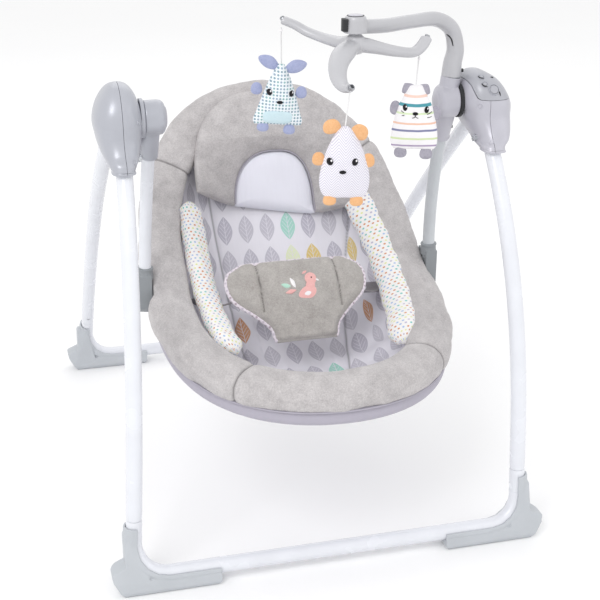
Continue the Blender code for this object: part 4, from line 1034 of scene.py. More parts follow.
# ------------------------------------------------------------------ hubs
@dataclass
class Hub:
    """A drop-shaped hub with two shells, its screws, seal ring and, on the right, the control panel."""

    side: Side
    finish: Finish
    seam_x: float = 0.2518
    screws: tuple[tuple[tuple[float, float, float], tuple[float, float, float]], ...] = ()

    def levels(self) -> Array:
        """Read the level sections: height, middle y, half depth, middle x and half width."""
        if self.side is Side.RIGHT:
            table = [(0.6541, 0.000, 0.0010, 0.2452, 0.0010), (0.6535, 0.000, 0.009, 0.2455, 0.0052),
                     (0.6500, 0.000, 0.023, 0.2472, 0.0124), (0.6420, 0.000, 0.0365, 0.2504, 0.0226),
                     (0.6290, 0.000, 0.0460, 0.2541, 0.0299), (0.6110, 0.000, 0.0495, 0.2578, 0.0353),
                     (0.5930, 0.001, 0.0515, 0.2605, 0.0330), (0.5765, -0.005, 0.0545, 0.2628, 0.0278),
                     (0.5650, -0.024, 0.0440, 0.2613, 0.0218), (0.5585, -0.042, 0.0300, 0.2562, 0.0182),
                     (0.5535, -0.0550, 0.0195, 0.2554, 0.0160), (0.5515, -0.0580, 0.0192, 0.2552, 0.0166)]
        else:
            table = [(0.6601, 0.000, 0.0010, 0.2520, 0.0010), (0.6595, 0.000, 0.009, 0.2520, 0.0060),
                     (0.6555, 0.000, 0.022, 0.2522, 0.0140), (0.6460, 0.000, 0.0355, 0.2527, 0.0219),
                     (0.6300, 0.000, 0.0455, 0.2539, 0.0287), (0.6110, 0.000, 0.0495, 0.2545, 0.0320),
                     (0.5930, 0.001, 0.0515, 0.2540, 0.0301), (0.5765, -0.003, 0.0545, 0.2535, 0.0268),
                     (0.5668, -0.021, 0.0465, 0.2540, 0.0218), (0.5610, -0.040, 0.0300, 0.2545, 0.0178),
                     (0.5565, -0.0515, 0.0200, 0.2548, 0.0150), (0.5545, -0.0550, 0.0196, 0.2548, 0.0158)]
        return smooth_curve(table, 89)

    def skin(self, inset: float = 0.0) -> Shape:
        """Loft rounded-rectangle sections through the levels."""
        level = self.levels()
        turn = TAU * np.arange(72) / 72
        bulge = squircle(turn, HUB_POWER)
        s = self.side.value
        wide = np.maximum(level[:, 4:5] - inset, 0.0004)
        deep = np.maximum(level[:, 2:3] - inset, 0.0004)
        x = s * (level[:, 3:4] + wide * bulge * np.cos(turn))
        y = level[:, 1:2] + deep * bulge * np.sin(turn)
        z = level[:, 0:1] + 0 * turn - inset * np.linspace(1, -1, len(level))[:, None]
        return skin(np.stack([x, y, z], -1))

    def fold_room(self) -> Shape:
        """Fan-shaped room behind the hub that the rear leg's top sweeps through."""
        y, z = FOLD_AXIS
        turns = np.radians(np.linspace(-58.0, 5.0, 9))
        reach = np.stack([y - np.sin(turns) * 0.075, z - np.cos(turns) * 0.075], -1)
        corners = [[y + 0.004, z + 0.0135], [y - 0.0095, z + 0.0105], [y - 0.0135, z + 0.004]]
        line = np.vstack([corners, reach[::-1]])
        s = self.side.value
        rows = np.stack([np.column_stack([np.full(len(line), s * x), line]) for x in (0.2490, 0.2768)])
        return skin(rows)

    def lid_outline(self, grow: float) -> list[tuple[float, float]]:
        """Outline of the panel lid in x and z, with its swept lower corner."""
        line = [(0.2000, 0.700), (0.2000, 0.6445), (0.2255, 0.6425), (0.2280, 0.6410), (0.2297, 0.6365),
                (0.2310, 0.6310), (0.2330, 0.6249), (0.2352, 0.6208), (0.2385, 0.6190), (0.2502, 0.6181),
                (0.3200, 0.6168), (0.3200, 0.700)]
        return [(x + grow, z + grow) for x, z in line]

    def build(self) -> None:
        """Make the shells, the seal ring, the screws and the panel."""
        s, label = self.side.value, self.side.label
        shell = bare(f"{label}_hub_shell", self.skin())
        hollow = self.skin(0.0024)
        seam = box(*sorted(((s * (self.seam_x - 0.00028), -0.2, 0.4), (s * (self.seam_x + 0.00028), 0.2, 0.8))))
        shaft = lathe([(0.0, 0.0114), (0.026, 0.0114)], (s * 0.215, 0, PIVOT_HEIGHT), (s, 0, 0))
        heights = np.linspace(0.515, 0.582, 8)
        leg_path = front_legs().at(heights) * np.array([s, 1, 1])
        bore = skin(sweep(leg_path, 0.01135, 32))
        near = 0.2275 if self.side is Side.LEFT else 0.2335
        release = lathe([(0.0, 0.0049), (0.0110, 0.0049)], (s * near, -0.034, 0.5655 if s < 0 else 0.5635), (s, 0, 0))
        carve(shell, hollow, seam, self.fold_room(), shaft, bore, release)
        nodes = [f"{label}_hub_outer_shell", f"{label}_hub_inner_shell"]
        if self.side is Side.RIGHT:
            lid = bare("panel_lid", self.skin())
            carve(lid, prism(self.lid_outline(0.0006), -0.2, 0.2), keep=True)
            carve(shell, prism(self.lid_outline(0.0), -0.2, 0.2))
            self.panel(lid)
        place(shell, Body.BASE, self.finish, *nodes, sharp=32.0, slot="silver_grey_plastic")
        wide = 0.0262 if self.side is Side.LEFT else 0.0242
        ring = lathe([(0.2196, 0.0120), (0.2196, wide - 0.001), (0.2206, wide), (0.2246, wide), (0.2262, 0.0120)],
                     (0, 0, PIVOT_HEIGHT), (s, 0, 0), 64)
        make_object(f"{label}_seal_ring", ring, Body.BASE, self.finish if self.side is Side.LEFT else BLACK,
                    slot="dark_grey_plastic")
        for number, (spot, out) in enumerate(self.screws):
            self.screw(number, np.array(spot), unit(np.array(out)))

    def screw(self, number: int, spot: Array, out: Array) -> None:
        """Sink a cross-head screw in a ringed recess."""
        rim = lathe([(-0.0025, 0.0022), (-0.0002, 0.0023), (0.0004, 0.0028), (0.0005, 0.0034), (-0.0010, 0.0038),
                     (-0.0025, 0.0038)], spot, out, 32)
        head = lathe([(-0.0022, 0.0023), (-0.0012, 0.0022), (-0.0009, 0.0016), (-0.0009, 0.0006),
                      (-0.0016, 0.0004)], spot, out, 24)
        make_object(f"{self.side.label}_screw_recess_{number}", rim, Body.BASE, self.finish)
        make_object(f"{self.side.label}_screw_{number}", head, Body.BASE, BLACK)

    def panel(self, lid: bpy.types.Object) -> None:
        """Dress the lid, its three keys and the little marks beside them."""
        place(lid, Body.BASE, LID_GREY, "control_panel_lid", sharp=32.0, slot="pale_grey_plastic")
        for name, spot, out, size in (("timer", (0.2571, -0.0441, 0.6327), (0.048, -0.857, 0.514), 0.0062),
                                      ("power", (0.2441, -0.0280, 0.6475), (-0.082, -0.466, 0.881), 0.0030),
                                      ("music", (0.2454, -0.0388, 0.6394), (-0.104, -0.738, 0.667), 0.0030)):
            spot, out = np.array(spot), unit(np.array(out))
            key = lathe([(-0.0055, size * 0.98), (0.0006, size), (0.0014, size * 0.93), (0.0018, size * 0.80),
                         (0.0014, size * 0.45), (0.0013, size * 0.05)], spot, out, 40)
            make_object(name + "_key", key, name + "_button", LID_GREY, name + "_button")
            ring = lathe([(-0.0015, size + 0.0006), (0.0009, size + 0.0007), (0.0009, size + 0.0015),
                          (-0.0015, size + 0.0019)], spot, out, 40)
            make_object(name + "_key_ring", ring, Body.BASE, SILVER)
        self.mark("power_mark", [(-0.0042, 0.0020), (-0.0020, -0.0018), (0.0030, -0.0034)], 0)
        self.mark("music_mark", [(-0.0040, 0.0022), (-0.0018, -0.0020), (0.0032, -0.0032)], 1)
        self.mark("light_mark", [(-0.0022, 0.0010), (0.0000, -0.0002), (0.0022, -0.0016)], 2)
        self.mark("slider_mark", [(-0.0008, 0.0048), (0.0006, 0.0000), (0.0012, -0.0048)], 3)

    @staticmethod
    def mark(name: str, spots: Sequence[tuple[float, float]], number: int) -> None:
        """Lay a short black curved mark on the lid."""
        centre, out = (((0.2441, -0.0280, 0.6475), (-0.082, -0.466, 0.881)),
                       ((0.2454, -0.0388, 0.6394), (-0.104, -0.738, 0.667)),
                       ((0.2601, -0.0273, 0.6461), (0.313, -0.338, 0.888)),
                       ((0.2645, -0.0454, 0.6283), (0.221, -0.883, 0.413)))[number]
        out = unit(np.array(out))
        across = unit(np.cross((0.0, 0.0, 1.0), out))
        over = np.cross(out, across)
        line = smooth_curve(spots, 12)
        path = np.array(centre) + out * 0.0004 + line[:, :1] * across * 1.1 + line[:, 1:] * over
        if number < 2:
            path = path + out * 0.0008 - over * 0.0012
        widths = 0.00085 * np.sin(np.linspace(0.25, math.pi - 0.25, 12))
        make_object(name, skin(sweep(path, widths, 10, up=tuple(out))), Body.BASE, BLACK)


def front_legs() -> Leg:
    """Sizes of the front legs."""
    return Leg("front", Body.BASE, 0.578, -0.1785)


# ------------------------------------------------------------------ swinging arms
@dataclass
class Arm:
    """One side's pivot head, hanger tube and seat bracket."""

    side: Side
    head_finish: Finish
    tube_finish: Finish
    radius: float = 0.009

    def at(self, height: Array) -> Array:
        """Centre of this arm at heights; it curves back towards the seat's middle."""
        drop = PIVOT_HEIGHT - np.asarray(height, float)
        return np.stack([self.side.value * (0.2093 + 0.036 * drop), 0.54 * drop - 1.006 * drop**2 - 0.0005,
                         PIVOT_HEIGHT - drop], -1)

    def build(self) -> None:
        """Make the head, the tube and the bracket."""
        s, label = self.side.value, self.side.label
        barrel = lathe([(0.2192, 0.0100), (0.2192, 0.0222), (0.2180, 0.0233), (0.2010, 0.0235), (0.1960, 0.0226),
                        (0.1925, 0.0196), (0.1908, 0.0150), (0.1905, 0.0060)], (0, 0, PIVOT_HEIGHT), (s, 0, 0), 72)
        socket_path = np.linspace((s * 0.2100, 0.0045, 0.5980), (s * 0.2106, 0.0275, 0.5520), 14)
        socket = skin(sweep(socket_path, np.linspace(0.0131, 0.0122, 14), 48))
        parts = barrel + socket
        if self.side is Side.RIGHT:
            rise = np.linspace((0.2070, 0, PIVOT_HEIGHT + 0.004), (0.2112, 0, 0.6443), 12)
            parts = parts + skin(sweep(rise, np.linspace(0.0142, 0.0141, 12), 48))
        head = fuse(bare(f"{label}_pivot_cap", parts), 0.0008, 3)
        place(head, Body.SWING, self.head_finish, f"{label}_pivot_head", slot="silver_grey_plastic")
        disc = lathe([(0.1932, 0.0150), (0.1903, 0.0146), (0.1893, 0.0128), (0.1889, 0.0060), (0.1888, 0.0005)],
                     (0, 0, PIVOT_HEIGHT), (s, 0, 0), 56)
        make_object(f"{label}_pivot_disc", disc, Body.SWING, PALE_SILVER)
        collar_path = self.at(np.linspace(0.5560, 0.5515, 5))
        collar = skin(sweep(collar_path, np.array([0.0124, 0.0129, 0.0130, 0.0128, 0.0118]), 48))
        make_object(f"{label}_socket_lip", collar, Body.SWING, self.head_finish)
        path = self.at(np.linspace(0.5855, 0.352, 60))
        make_object(f"{label}_hanger_tube", tube(path, self.radius, 0.0011), Body.SWING, self.tube_finish,
                    f"{label}_hanger_arm", slot="white_paint")
        bracket = fuse(copy_of(f"{label}_seat_bracket"), 0.0009, 3)
        bracket.name = f"{label}_arm_bracket"
        place(bracket, Body.SWING, DARK, f"{label}_seat_bracket", sharp=60.0, slot="dark_grey_plastic")
        lip_path = self.at(np.linspace(0.3755, 0.3715, 5))
        lip = skin(sweep(lip_path, np.array([0.0103, 0.0119, 0.0122, 0.0121, 0.0112]), 40))
        make_object(f"{label}_bracket_lip", lip, Body.SWING, DARK)


# ------------------------------------------------------------------ seat
class SeatForm:
    """The seat's curved plane: s runs from -1 at the foot end to 1 at the head end."""

    half_width = 0.185

    @staticmethod
    def side(s: Array) -> Array:
        """Give y and z of the side curve."""
        return np.stack([0.026 + 0.242 * s + 0.072 * (1 - s * s), 0.427 + 0.136 * s - 0.077 * (1 - s * s)], -1)

    @staticmethod
    def normal(s: Array) -> Array:
        """Give y and z of the direction out of the seat."""
        y, z = 0.242 - 0.144 * s, 0.136 + 0.154 * s
        return unit(np.stack([-z, y], -1))

    @classmethod
    def point(cls, s: Array, x: Array, lift: Array) -> Array:
        """Give points at a place along, across and out of the seat."""
        s, x, lift = np.broadcast_arrays(np.asarray(s, float), np.asarray(x, float), np.asarray(lift, float))
        yz = cls.side(s) + cls.normal(s) * lift[..., None]
        return np.concatenate([x[..., None], yz], -1)

    @classmethod
    def width(cls, s: Array) -> Array:
        """Give the half width of the rim's centre line."""
        s = np.asarray(s, float)
        return cls.half_width * (1 - np.minimum(np.abs(s), 1.0) ** 3) ** (1 / 2.1) * (1 - 0.044 * s)

    @classmethod
    def rim(cls, turn: Array, spread: Array, lift: Array) -> Array:
        """Give points of the rim's loop, moved outwards in the seat's plane and along its normal."""
        turn, spread, lift = np.broadcast_arrays(turn, spread, lift)
        across, along = np.cos(turn), np.sin(turn)
        s = np.sign(along) * np.abs(along) ** (2 / 3)
        x = cls.half_width * np.sign(across) * np.abs(across) ** (2 / 2.1) * (1 - 0.044 * s)
        normal = cls.normal(s)
        forward = np.stack([normal[..., 1], -normal[..., 0]], -1)
        ahead = np.sign(along) * np.abs(along) ** 1.2
        outward = np.concatenate([(np.sign(across) * np.abs(across) ** 0.8)[..., None],
                                  forward * ahead[..., None]], -1)
        outward = unit(outward)
        base = cls.point(s, x, lift)
        return base + outward * spread[..., None]

    @classmethod
    def floor_lift(cls, s: Array) -> Array:
        """Give how deep the liner's middle lies under the side curve."""
        return -np.interp(s, [-1.0, -0.85, -0.55, -0.3, -0.05, 0.2, 0.5, 0.8, 1.0],
                          [0.030, 0.062, 0.096, 0.094, 0.080, 0.062, 0.050, 0.042, 0.034])


@dataclass
class Seat:
    """All the soft parts of the seat."""

    seams: tuple[float, ...] = (147.0, 35.0, 232.0, 313.0)

    def build(self) -> None:
        """Make every soft piece, from the outside in."""
        self.rim()
        self.underside()
        self.liner()
        self.pillow()
        for side in Side:
            self.bolster(side)

    def rim(self) -> None:
        """Sweep a padded section round the rim, pulled in at its sewn joins and at the brackets.

        The section is a closed curve through (spread, lift) pairs.  Its size drops by a narrow bell at
        each join, and slow waves soften it.
        """
        section = smooth_curve([(-0.0310, -0.004), (-0.0300, 0.0075), (-0.0215, 0.0175), (0.000, 0.0215),
                                (0.0185, 0.0175), (0.0290, 0.0075), (0.0320, -0.0040), (0.0308, -0.0120),
                                (0.0280, -0.0172), (0.0240, -0.0190), (0.0215, -0.0192), (0.0205, -0.0192),
                                (0.0040, -0.0190), (-0.0180, -0.0190), (-0.0285, -0.0145), (-0.0310, -0.004)],
                               97)[:-1]
        turn = np.linspace(0, TAU, 901)[:-1]
        grid_turn = turn[:, None] + 0 * section[None, :, 0]
        spread = np.tile(section[:, 0], (len(turn), 1))
        lift = np.tile(section[:, 1], (len(turn), 1))
        gap = np.stack([(turn - math.radians(seam) + math.pi) % TAU - math.pi for seam in self.seams])
        step = np.linalg.norm(np.gradient(SeatForm.rim(turn, np.zeros_like(turn), np.zeros_like(turn)), axis=0),
                              axis=1) / (turn[1] - turn[0])
        far = np.abs(gap).min(0) * step
        pull = np.exp(-((far / 0.0075) ** 2)) * 0.13 + np.exp(-((far / 0.0016) ** 2)) * 0.09
        plump = 1.0 - pull[:, None]
        body = SeatForm.rim(grid_turn, spread * (0.5 + 0.5 * plump), lift * plump)
        wave = ripple(body, 0.055, 4) * 0.0011 + ripple(body, 0.018, 9) * 0.00035
        left_head = np.exp(-(((turn - math.radians(118)) / 0.42) ** 2))[:, None] * 0.003
        front = np.exp(-(((turn - math.radians(258)) / 0.55) ** 2))[:, None] * 0.0015
        left = np.exp(-(((turn - math.radians(182)) / 0.30) ** 2))[:, None] * 0.003
        outer = np.clip(spread / 0.031, 0, 1)
        points = SeatForm.rim(grid_turn, spread * (0.5 + 0.5 * plump) + wave + outer * (left_head + front + left),
                              lift * plump + wave * np.sign(lift))
        points = self.pocket(points)
        length = np.cumsum(step) * (turn[1] - turn[0])
        uv = np.stack(np.broadcast_arrays(np.linspace(0, 0.16, 97)[None, :],
                                          np.append(length, length[-1] + 0.001)[:, None]), -1)
        piece = make_object("plush_seat_rim", skin(points, loop=True, uv=uv), Body.SEAT, PLUSH, "plush_rim",
                            sharp=80.0, slot="taupe_plush")
        mark_seams_and_crease_shade(piece, np.exp(-((far / 0.0014) ** 2))[:, None] + 0 * grid_turn)
        edge = SeatForm.rim(turn, np.full_like(turn, 0.0272) + 0.0015 * np.exp(
            -(((turn - math.radians(258)) / 0.55) ** 2)), np.full_like(turn, -0.0186))
        edge = self.pocket(edge[:, None, :])[:, 0]
        piping = self.loop_tube(edge, 0.0012, 10)
        make_object("rim_hem_piping", piping, Body.SEAT, UNDERSIDE)

    @staticmethod
    def loop_tube(path: Array, radius: float, sides: int) -> Shape:
        """Carry a round section along a closed path; its up is the way out from the path's middle."""
        along = unit(np.roll(path, -1, 0) - np.roll(path, 1, 0))
        out = path - path.mean(0)
        out = unit(out - along * np.einsum("ij,ij->i", out, along)[:, None])
        over = np.cross(along, out)
        turn = TAU * np.arange(sides) / sides
        rows = path[:, None] + radius * (np.cos(turn)[None, :, None] * out[:, None]
                                         + np.sin(turn)[None, :, None] * over[:, None])
        return skin(rows, loop=True)

    @staticmethod
    def pocket(points: Array) -> Array:
        """Press the rim's outer wall in where the recline brackets pass."""
        y, z = points[..., 1] - RECLINE_AXIS[0], points[..., 2] - RECLINE_AXIS[1]
        near = np.exp(-((y / 0.042) ** 2) - ((z / 0.066) ** 2) ** 2)
        limit = 0.2085 + (1 - np.clip(near * 1.6, 0, 1)) * 0.03
        x = points[..., 0]
        held = np.sign(x) * np.minimum(np.abs(x), limit)
        return np.concatenate([held[..., None], points[..., 1:]], -1)

    def disc(self, shares: Array, turn: Array, edge: float) -> tuple[Array, Array]:
        """Give s and x of points that run from the seat's middle (share 0) to its edge (share 1)."""
        across, along = np.cos(turn), np.sin(turn)
        s0 = np.sign(along) * np.abs(along) ** (2 / 3)
        x0 = np.sign(across) * np.abs(across) ** (2 / 2.1) * (1 - 0.044 * s0) * SeatForm.half_width
        x0 = np.sign(x0) * np.maximum(np.abs(x0) - edge, 0.0)
        return shares[:, None] * s0[None, :] * (1 - edge / 0.29), shares[:, None] * x0[None, :]

    def underside(self) -> None:
        """Stretch the lilac cloth round the steel loop and under the seat as one shell."""
        turn = np.linspace(0, TAU, 241)[:-1]
        wrap = smooth_curve([(0.0240, -0.0165), (0.0258, -0.0240), (0.0256, -0.0330), (0.0205, -0.0395),
                             (0.0120, -0.0415), (0.002, -0.0420)], 14)
        rows = [SeatForm.rim(turn, np.full_like(turn, a), np.full_like(turn, b)) for a, b in wrap]
        shares = np.linspace(0.985, 0.004, 46)
        s, x = self.disc(shares, turn, 0.004)
        deep = SeatForm.floor_lift(s) - 0.014
        shell = np.where(shares[:, None] > 0.0, 1 - shares[:, None] ** 3.4, 1)
        lift = -0.042 + (np.minimum(deep, -0.042) + 0.042) * shell - 0.006 * shell * (1 - shell) * 4
        bottom = SeatForm.point(s, x, lift)
        wrinkle = ripple(bottom, 0.05, 21) * 0.0012
        bottom[..., 2] += wrinkle * shell
        outer = np.concatenate([self.pocket(np.stack(rows)), bottom])
        inward = outer.copy()
        inward[..., 2] += 0.0016
        inward[:14, :, :] = self.pocket(np.stack([SeatForm.rim(turn, np.full_like(turn, a - 0.0014),
                                                               np.full_like(turn, b + 0.0006)) for a, b in wrap]))
        make_object("seat_underside", self.closed_shell(outer, inward), Body.SEAT, UNDERSIDE, sharp=70.0,
                    slot="white_liner")

    @staticmethod
    def closed_shell(outer: Array, inner: Array) -> Shape:
        """Join two cups, one inside the other, at their edges; the middle of each is closed by a fan."""
        return skin(np.concatenate([outer[::-1], inner]), capped=True)

    def liner(self) -> None:
        """Quilt the printed liner over the seat's hollow: a flat back and seat with steep sides.

        Depth falls off with a high power of the share, so the sides rise steeply.  The sides are sewn to
        the flat panels by two long seams, and the back meets the seat in a crease.
        """
        turn = np.linspace(0, TAU, 361)[:-1]
        shares = np.linspace(1.0, 0.003, 110)
        s, x = self.disc(shares, turn, 0.022)
        depth = SeatForm.floor_lift(s)
        wall = 1 - (shares[:, None] ** 4.2) * (1 + 0 * s)
        lift = -0.0205 + (depth + 0.0205) * wall
        seam_x = 0.108
        centre = 0.010
        gap = np.minimum(np.abs(x - 0.104 - 0.0735 * s), np.abs(x + 0.083 + 0.015 * s))
        inside = (s > -0.62) & (s < 0.86)
        long_seam = np.exp(-((gap / 0.0040) ** 2)) * inside
        crease = np.exp(-(((s - 0.02) / 0.028) ** 2)) * (np.abs(x - centre) < seam_x + 0.004)
        hem = np.exp(-(((s + 0.60) / 0.020) ** 2)) * (np.abs(x - centre) < seam_x)
        base = SeatForm.point(s, x, lift)
        puff = 0.5 + 0.5 * np.cos(np.clip((x - centre) / seam_x, -1, 1) * math.pi)
        quilt = 0.006 * puff * (1 - shares[:, None] ** 6)
        calm = np.clip(1.15 - 1.6 * (s > 0.12), 0.2, 1)
        folds = ripple(base * np.array([1.0, 0.55, 0.55]), 0.028, 33) * 0.0017 * calm
        lift = lift + quilt + folds - 0.0032 * long_seam - 0.0040 * crease - 0.0018 * hem
        lift = lift + 0.0022 * np.sin(s * 46.0 + x * 20) * (s < -0.05) * (np.abs(x) > 0.05) * (1 - shares[:, None]**8)
        top = SeatForm.point(s, x, lift)
        low = SeatForm.point(s, x, lift - 0.0045)
        rate = np.hypot(0.242 - 0.144 * np.linspace(-1, 1, 801), 0.136 + 0.154 * np.linspace(-1, 1, 801))
        path = np.concatenate([[0], np.cumsum((rate[1:] + rate[:-1]) / 2 * (2 / 800))])
        zero = np.interp(0.352, np.linspace(-1, 1, 801), path)
        along = np.interp(s, np.linspace(-1, 1, 801), path) - zero
        rise = np.maximum(np.abs(x - centre) - seam_x, 0)
        u = x - 0.0305 + np.sign(x - centre) * rise * 0.8
        uv = np.stack([u, along], -1)
        uv = np.concatenate([uv, uv[:, :1]], 1)
        shape = self.shut_rim(top, low, uv)
        piece = make_object("printed_liner", shape, Body.SEAT, LINER, "fabric_bucket", sharp=70.0,
                            slot="white_liner")
        # Darkening for the seam attribute: the two long seam lines, plus painted shade in the crease where the back
        # meets the seat (the 0.8 term).
        dark = np.clip(np.exp(-((gap / 0.0015) ** 2)) * inside + 0.8 * np.exp(-(((s - 0.02) / 0.006) ** 2))
                       * (np.abs(x - centre) < seam_x), 0, 1)
        mark_seams_and_crease_shade(piece, np.concatenate([dark[::-1], 0 * dark]))

    @staticmethod
    def shut_rim(top: Array, low: Array, uv: Array) -> Shape:
        """Close a thin cup: up its inside from the middle, over the edge and down its outside."""
        return skin(np.concatenate([top[::-1], low]), capped=True, uv=np.concatenate([uv[::-1], uv]))

    def pillow(self) -> None:
        """Make the arch-shaped head pillow, its white middle and the dark piping between them.

        The arch runs from its left foot over the top to its right foot; across it, height follows the
        root of a sine, so both edges are seams.
        """
        centre = 0.0110
        arch = np.linspace(0, math.pi, 121)
        inner = self.arch_line(arch, centre, 0.0640, 0.715, 2.5)
        outer = self.arch_line(arch, 0.0070, 0.1250, 1.050, 2.9)
        across = np.linspace(0, 1, 41)
        s = inner[:, None, 0] + (outer[:, None, 0] - inner[:, None, 0]) * across
        x = inner[:, None, 1] + (outer[:, None, 1] - inner[:, None, 1]) * across
        crown = np.sin(math.pi * np.clip(across, 0.0, 1.0)) ** 0.42
        base = self.pillow_lift(s, x)
        dents = ripple(SeatForm.point(s, x, 0 * x), 0.05, 12) * 0.0016
        inner_pucker = np.sin(arch * 23)[:, None] * np.exp(-across / 0.18) * 0.0007
        fade = np.clip(np.minimum(arch, math.pi - arch) / 0.10, 0, 1)[:, None] ** 0.5
        thick = 0.022 * crown * (0.35 + 0.65 * fade)
        top = SeatForm.point(s, x, base + thick + (dents + inner_pucker) * crown)
        low = SeatForm.point(s, x, base - 0.006 * crown)
        uv = np.stack(np.broadcast_arrays(x, s * 0.28), -1)
        piece = make_object("head_pillow_arch", slab(top, low, uv), Body.SEAT, PLUSH, "head_pillow", sharp=70.0,
                            slot="taupe_plush")
        shares = np.linspace(1.0, 0.01, 40)
        heart = np.array([0.500, centre])
        ring = np.concatenate([inner, self.base_line(inner, 60)])
        s = heart[0] + (ring[None, :, 0] - heart[0]) * shares[:, None]
        x = heart[1] + (ring[None, :, 1] - heart[1]) * shares[:, None]
        lift = self.pillow_lift(s, x) + 0.0100 * (1 - shares[:, None] ** 5) ** 0.8 - 0.001
        lift = lift + ripple(SeatForm.point(s, x, 0 * x), 0.06, 15) * 0.0008 * (1 - shares[:, None] ** 3)
        top, low = SeatForm.point(s, x, lift), SeatForm.point(s, x, self.pillow_lift(s, x) - 0.004)
        uv = np.stack([x, s * 0.28], -1)
        uv = np.concatenate([uv, uv[:, :1]], 1)
        dome = make_object("head_pillow_dome", self.shut_rim(top, low, uv), Body.SEAT, DOME, sharp=70.0,
                           slot="white_liner")
        line = SeatForm.point(inner[:, 0], inner[:, 1], self.pillow_lift(inner[:, 0], inner[:, 1]) + 0.0050)
        make_object("dome_piping", skin(sweep(line, 0.0011, 10, up=(0, -0.8, 0.6))), Body.SEAT, UNDERSIDE)

    @staticmethod
    def pillow_lift(s: Array, x: Array) -> Array:
        """Give the height of the pillow's underside: on the liner low down, over the rim at the top."""
        rise = np.clip((s - 0.42) / 0.36, 0, 1)
        wide = np.clip((np.abs(x - 0.011) - 0.055) / 0.070, 0, 1)
        low = SeatForm.floor_lift(s) + 0.016
        high = 0.0225
        blend = np.clip(np.maximum(rise**1.2, wide**1.3 * 0.8), 0, 1)
        return low + (high - low) * blend

    @staticmethod
    def arch_line(arch: Array, centre: float, half: float, high: float, power: float) -> Array:
        """Give s and x of an arch: a superellipse's upper half on a slanted foot line."""
        c, t = np.cos(arch), np.sin(arch)
        bulge = (np.abs(c) ** power + np.abs(t) ** power) ** (-1 / power)
        x = centre - half * bulge * c
        low = 0.436 - 0.54 * x
        return np.stack([low + (high - low) * bulge * t, x], -1)

    @staticmethod
    def base_line(inner: Array, count: int) -> Array:
        """Close an arch with its straight foot line."""
        return np.linspace(inner[-1], inner[0], count + 2)[1:-1]

    def bolster(self, side: Side) -> None:
        """Roll the dotted cloth along the inside of the rim; it is fat in the middle and thin at its ends."""
        if side is Side.LEFT:
            spots = [(0.47, -0.1310), (0.35, -0.1310), (0.15, -0.1320), (-0.08, -0.1320), (-0.28, -0.1305),
                     (-0.46, -0.1260), (-0.62, -0.1185)]
        else:
            spots = [(0.47, 0.1330), (0.33, 0.1420), (0.15, 0.1510), (-0.05, 0.1540), (-0.28, 0.1500),
                     (-0.48, 0.1400), (-0.68, 0.1210)]
        line = smooth_curve(spots, 90)
        t = np.linspace(0, 1, 90)
        wide = (0.0208 if side is Side.LEFT else 0.0232) * np.clip(np.minimum(t / 0.09, (1 - t) / 0.07), 0.02, 1) ** 0.5
        path = SeatForm.point(line[:, 0], line[:, 1], 0.004 + 0 * t)
        path = path + np.array([0, 0, 1.0]) * (-0.004)
        across, lift = frames(path, (side.value * -0.55, 0.2, 1.0))
        turn = TAU * np.arange(44) / 44
        bulge = squircle(turn, BOLSTER_POWER)
        wave = 1 + 0.03 * np.sin(t * 37 + 1.0 * side.value)[:, None] + 0.02 * np.sin(t * 91)[:, None]
        size = wide[:, None] * wave * bulge[None, :]
        rows = (path[:, None] + (size * np.cos(turn))[..., None] * across[:, None]
                + (size * 0.66 * np.sin(turn))[..., None] * lift[:, None])
        rows = rows + (ripple(rows, 0.02, 17) * 0.0006)[..., None] * lift[:, None]
        length = np.cumsum(np.linalg.norm(np.gradient(path, axis=0), axis=1))
        uv = np.stack(np.broadcast_arrays(np.linspace(0, 0.106, 45)[None, :], length[:, None]), -1)
        piece = make_object(f"{side.label}_dotted_bolster", skin(rows, uv=uv), Body.SEAT, DOTTED,
                            f"{side.label}_side_bolster", sharp=70.0, slot="dotted_cotton")


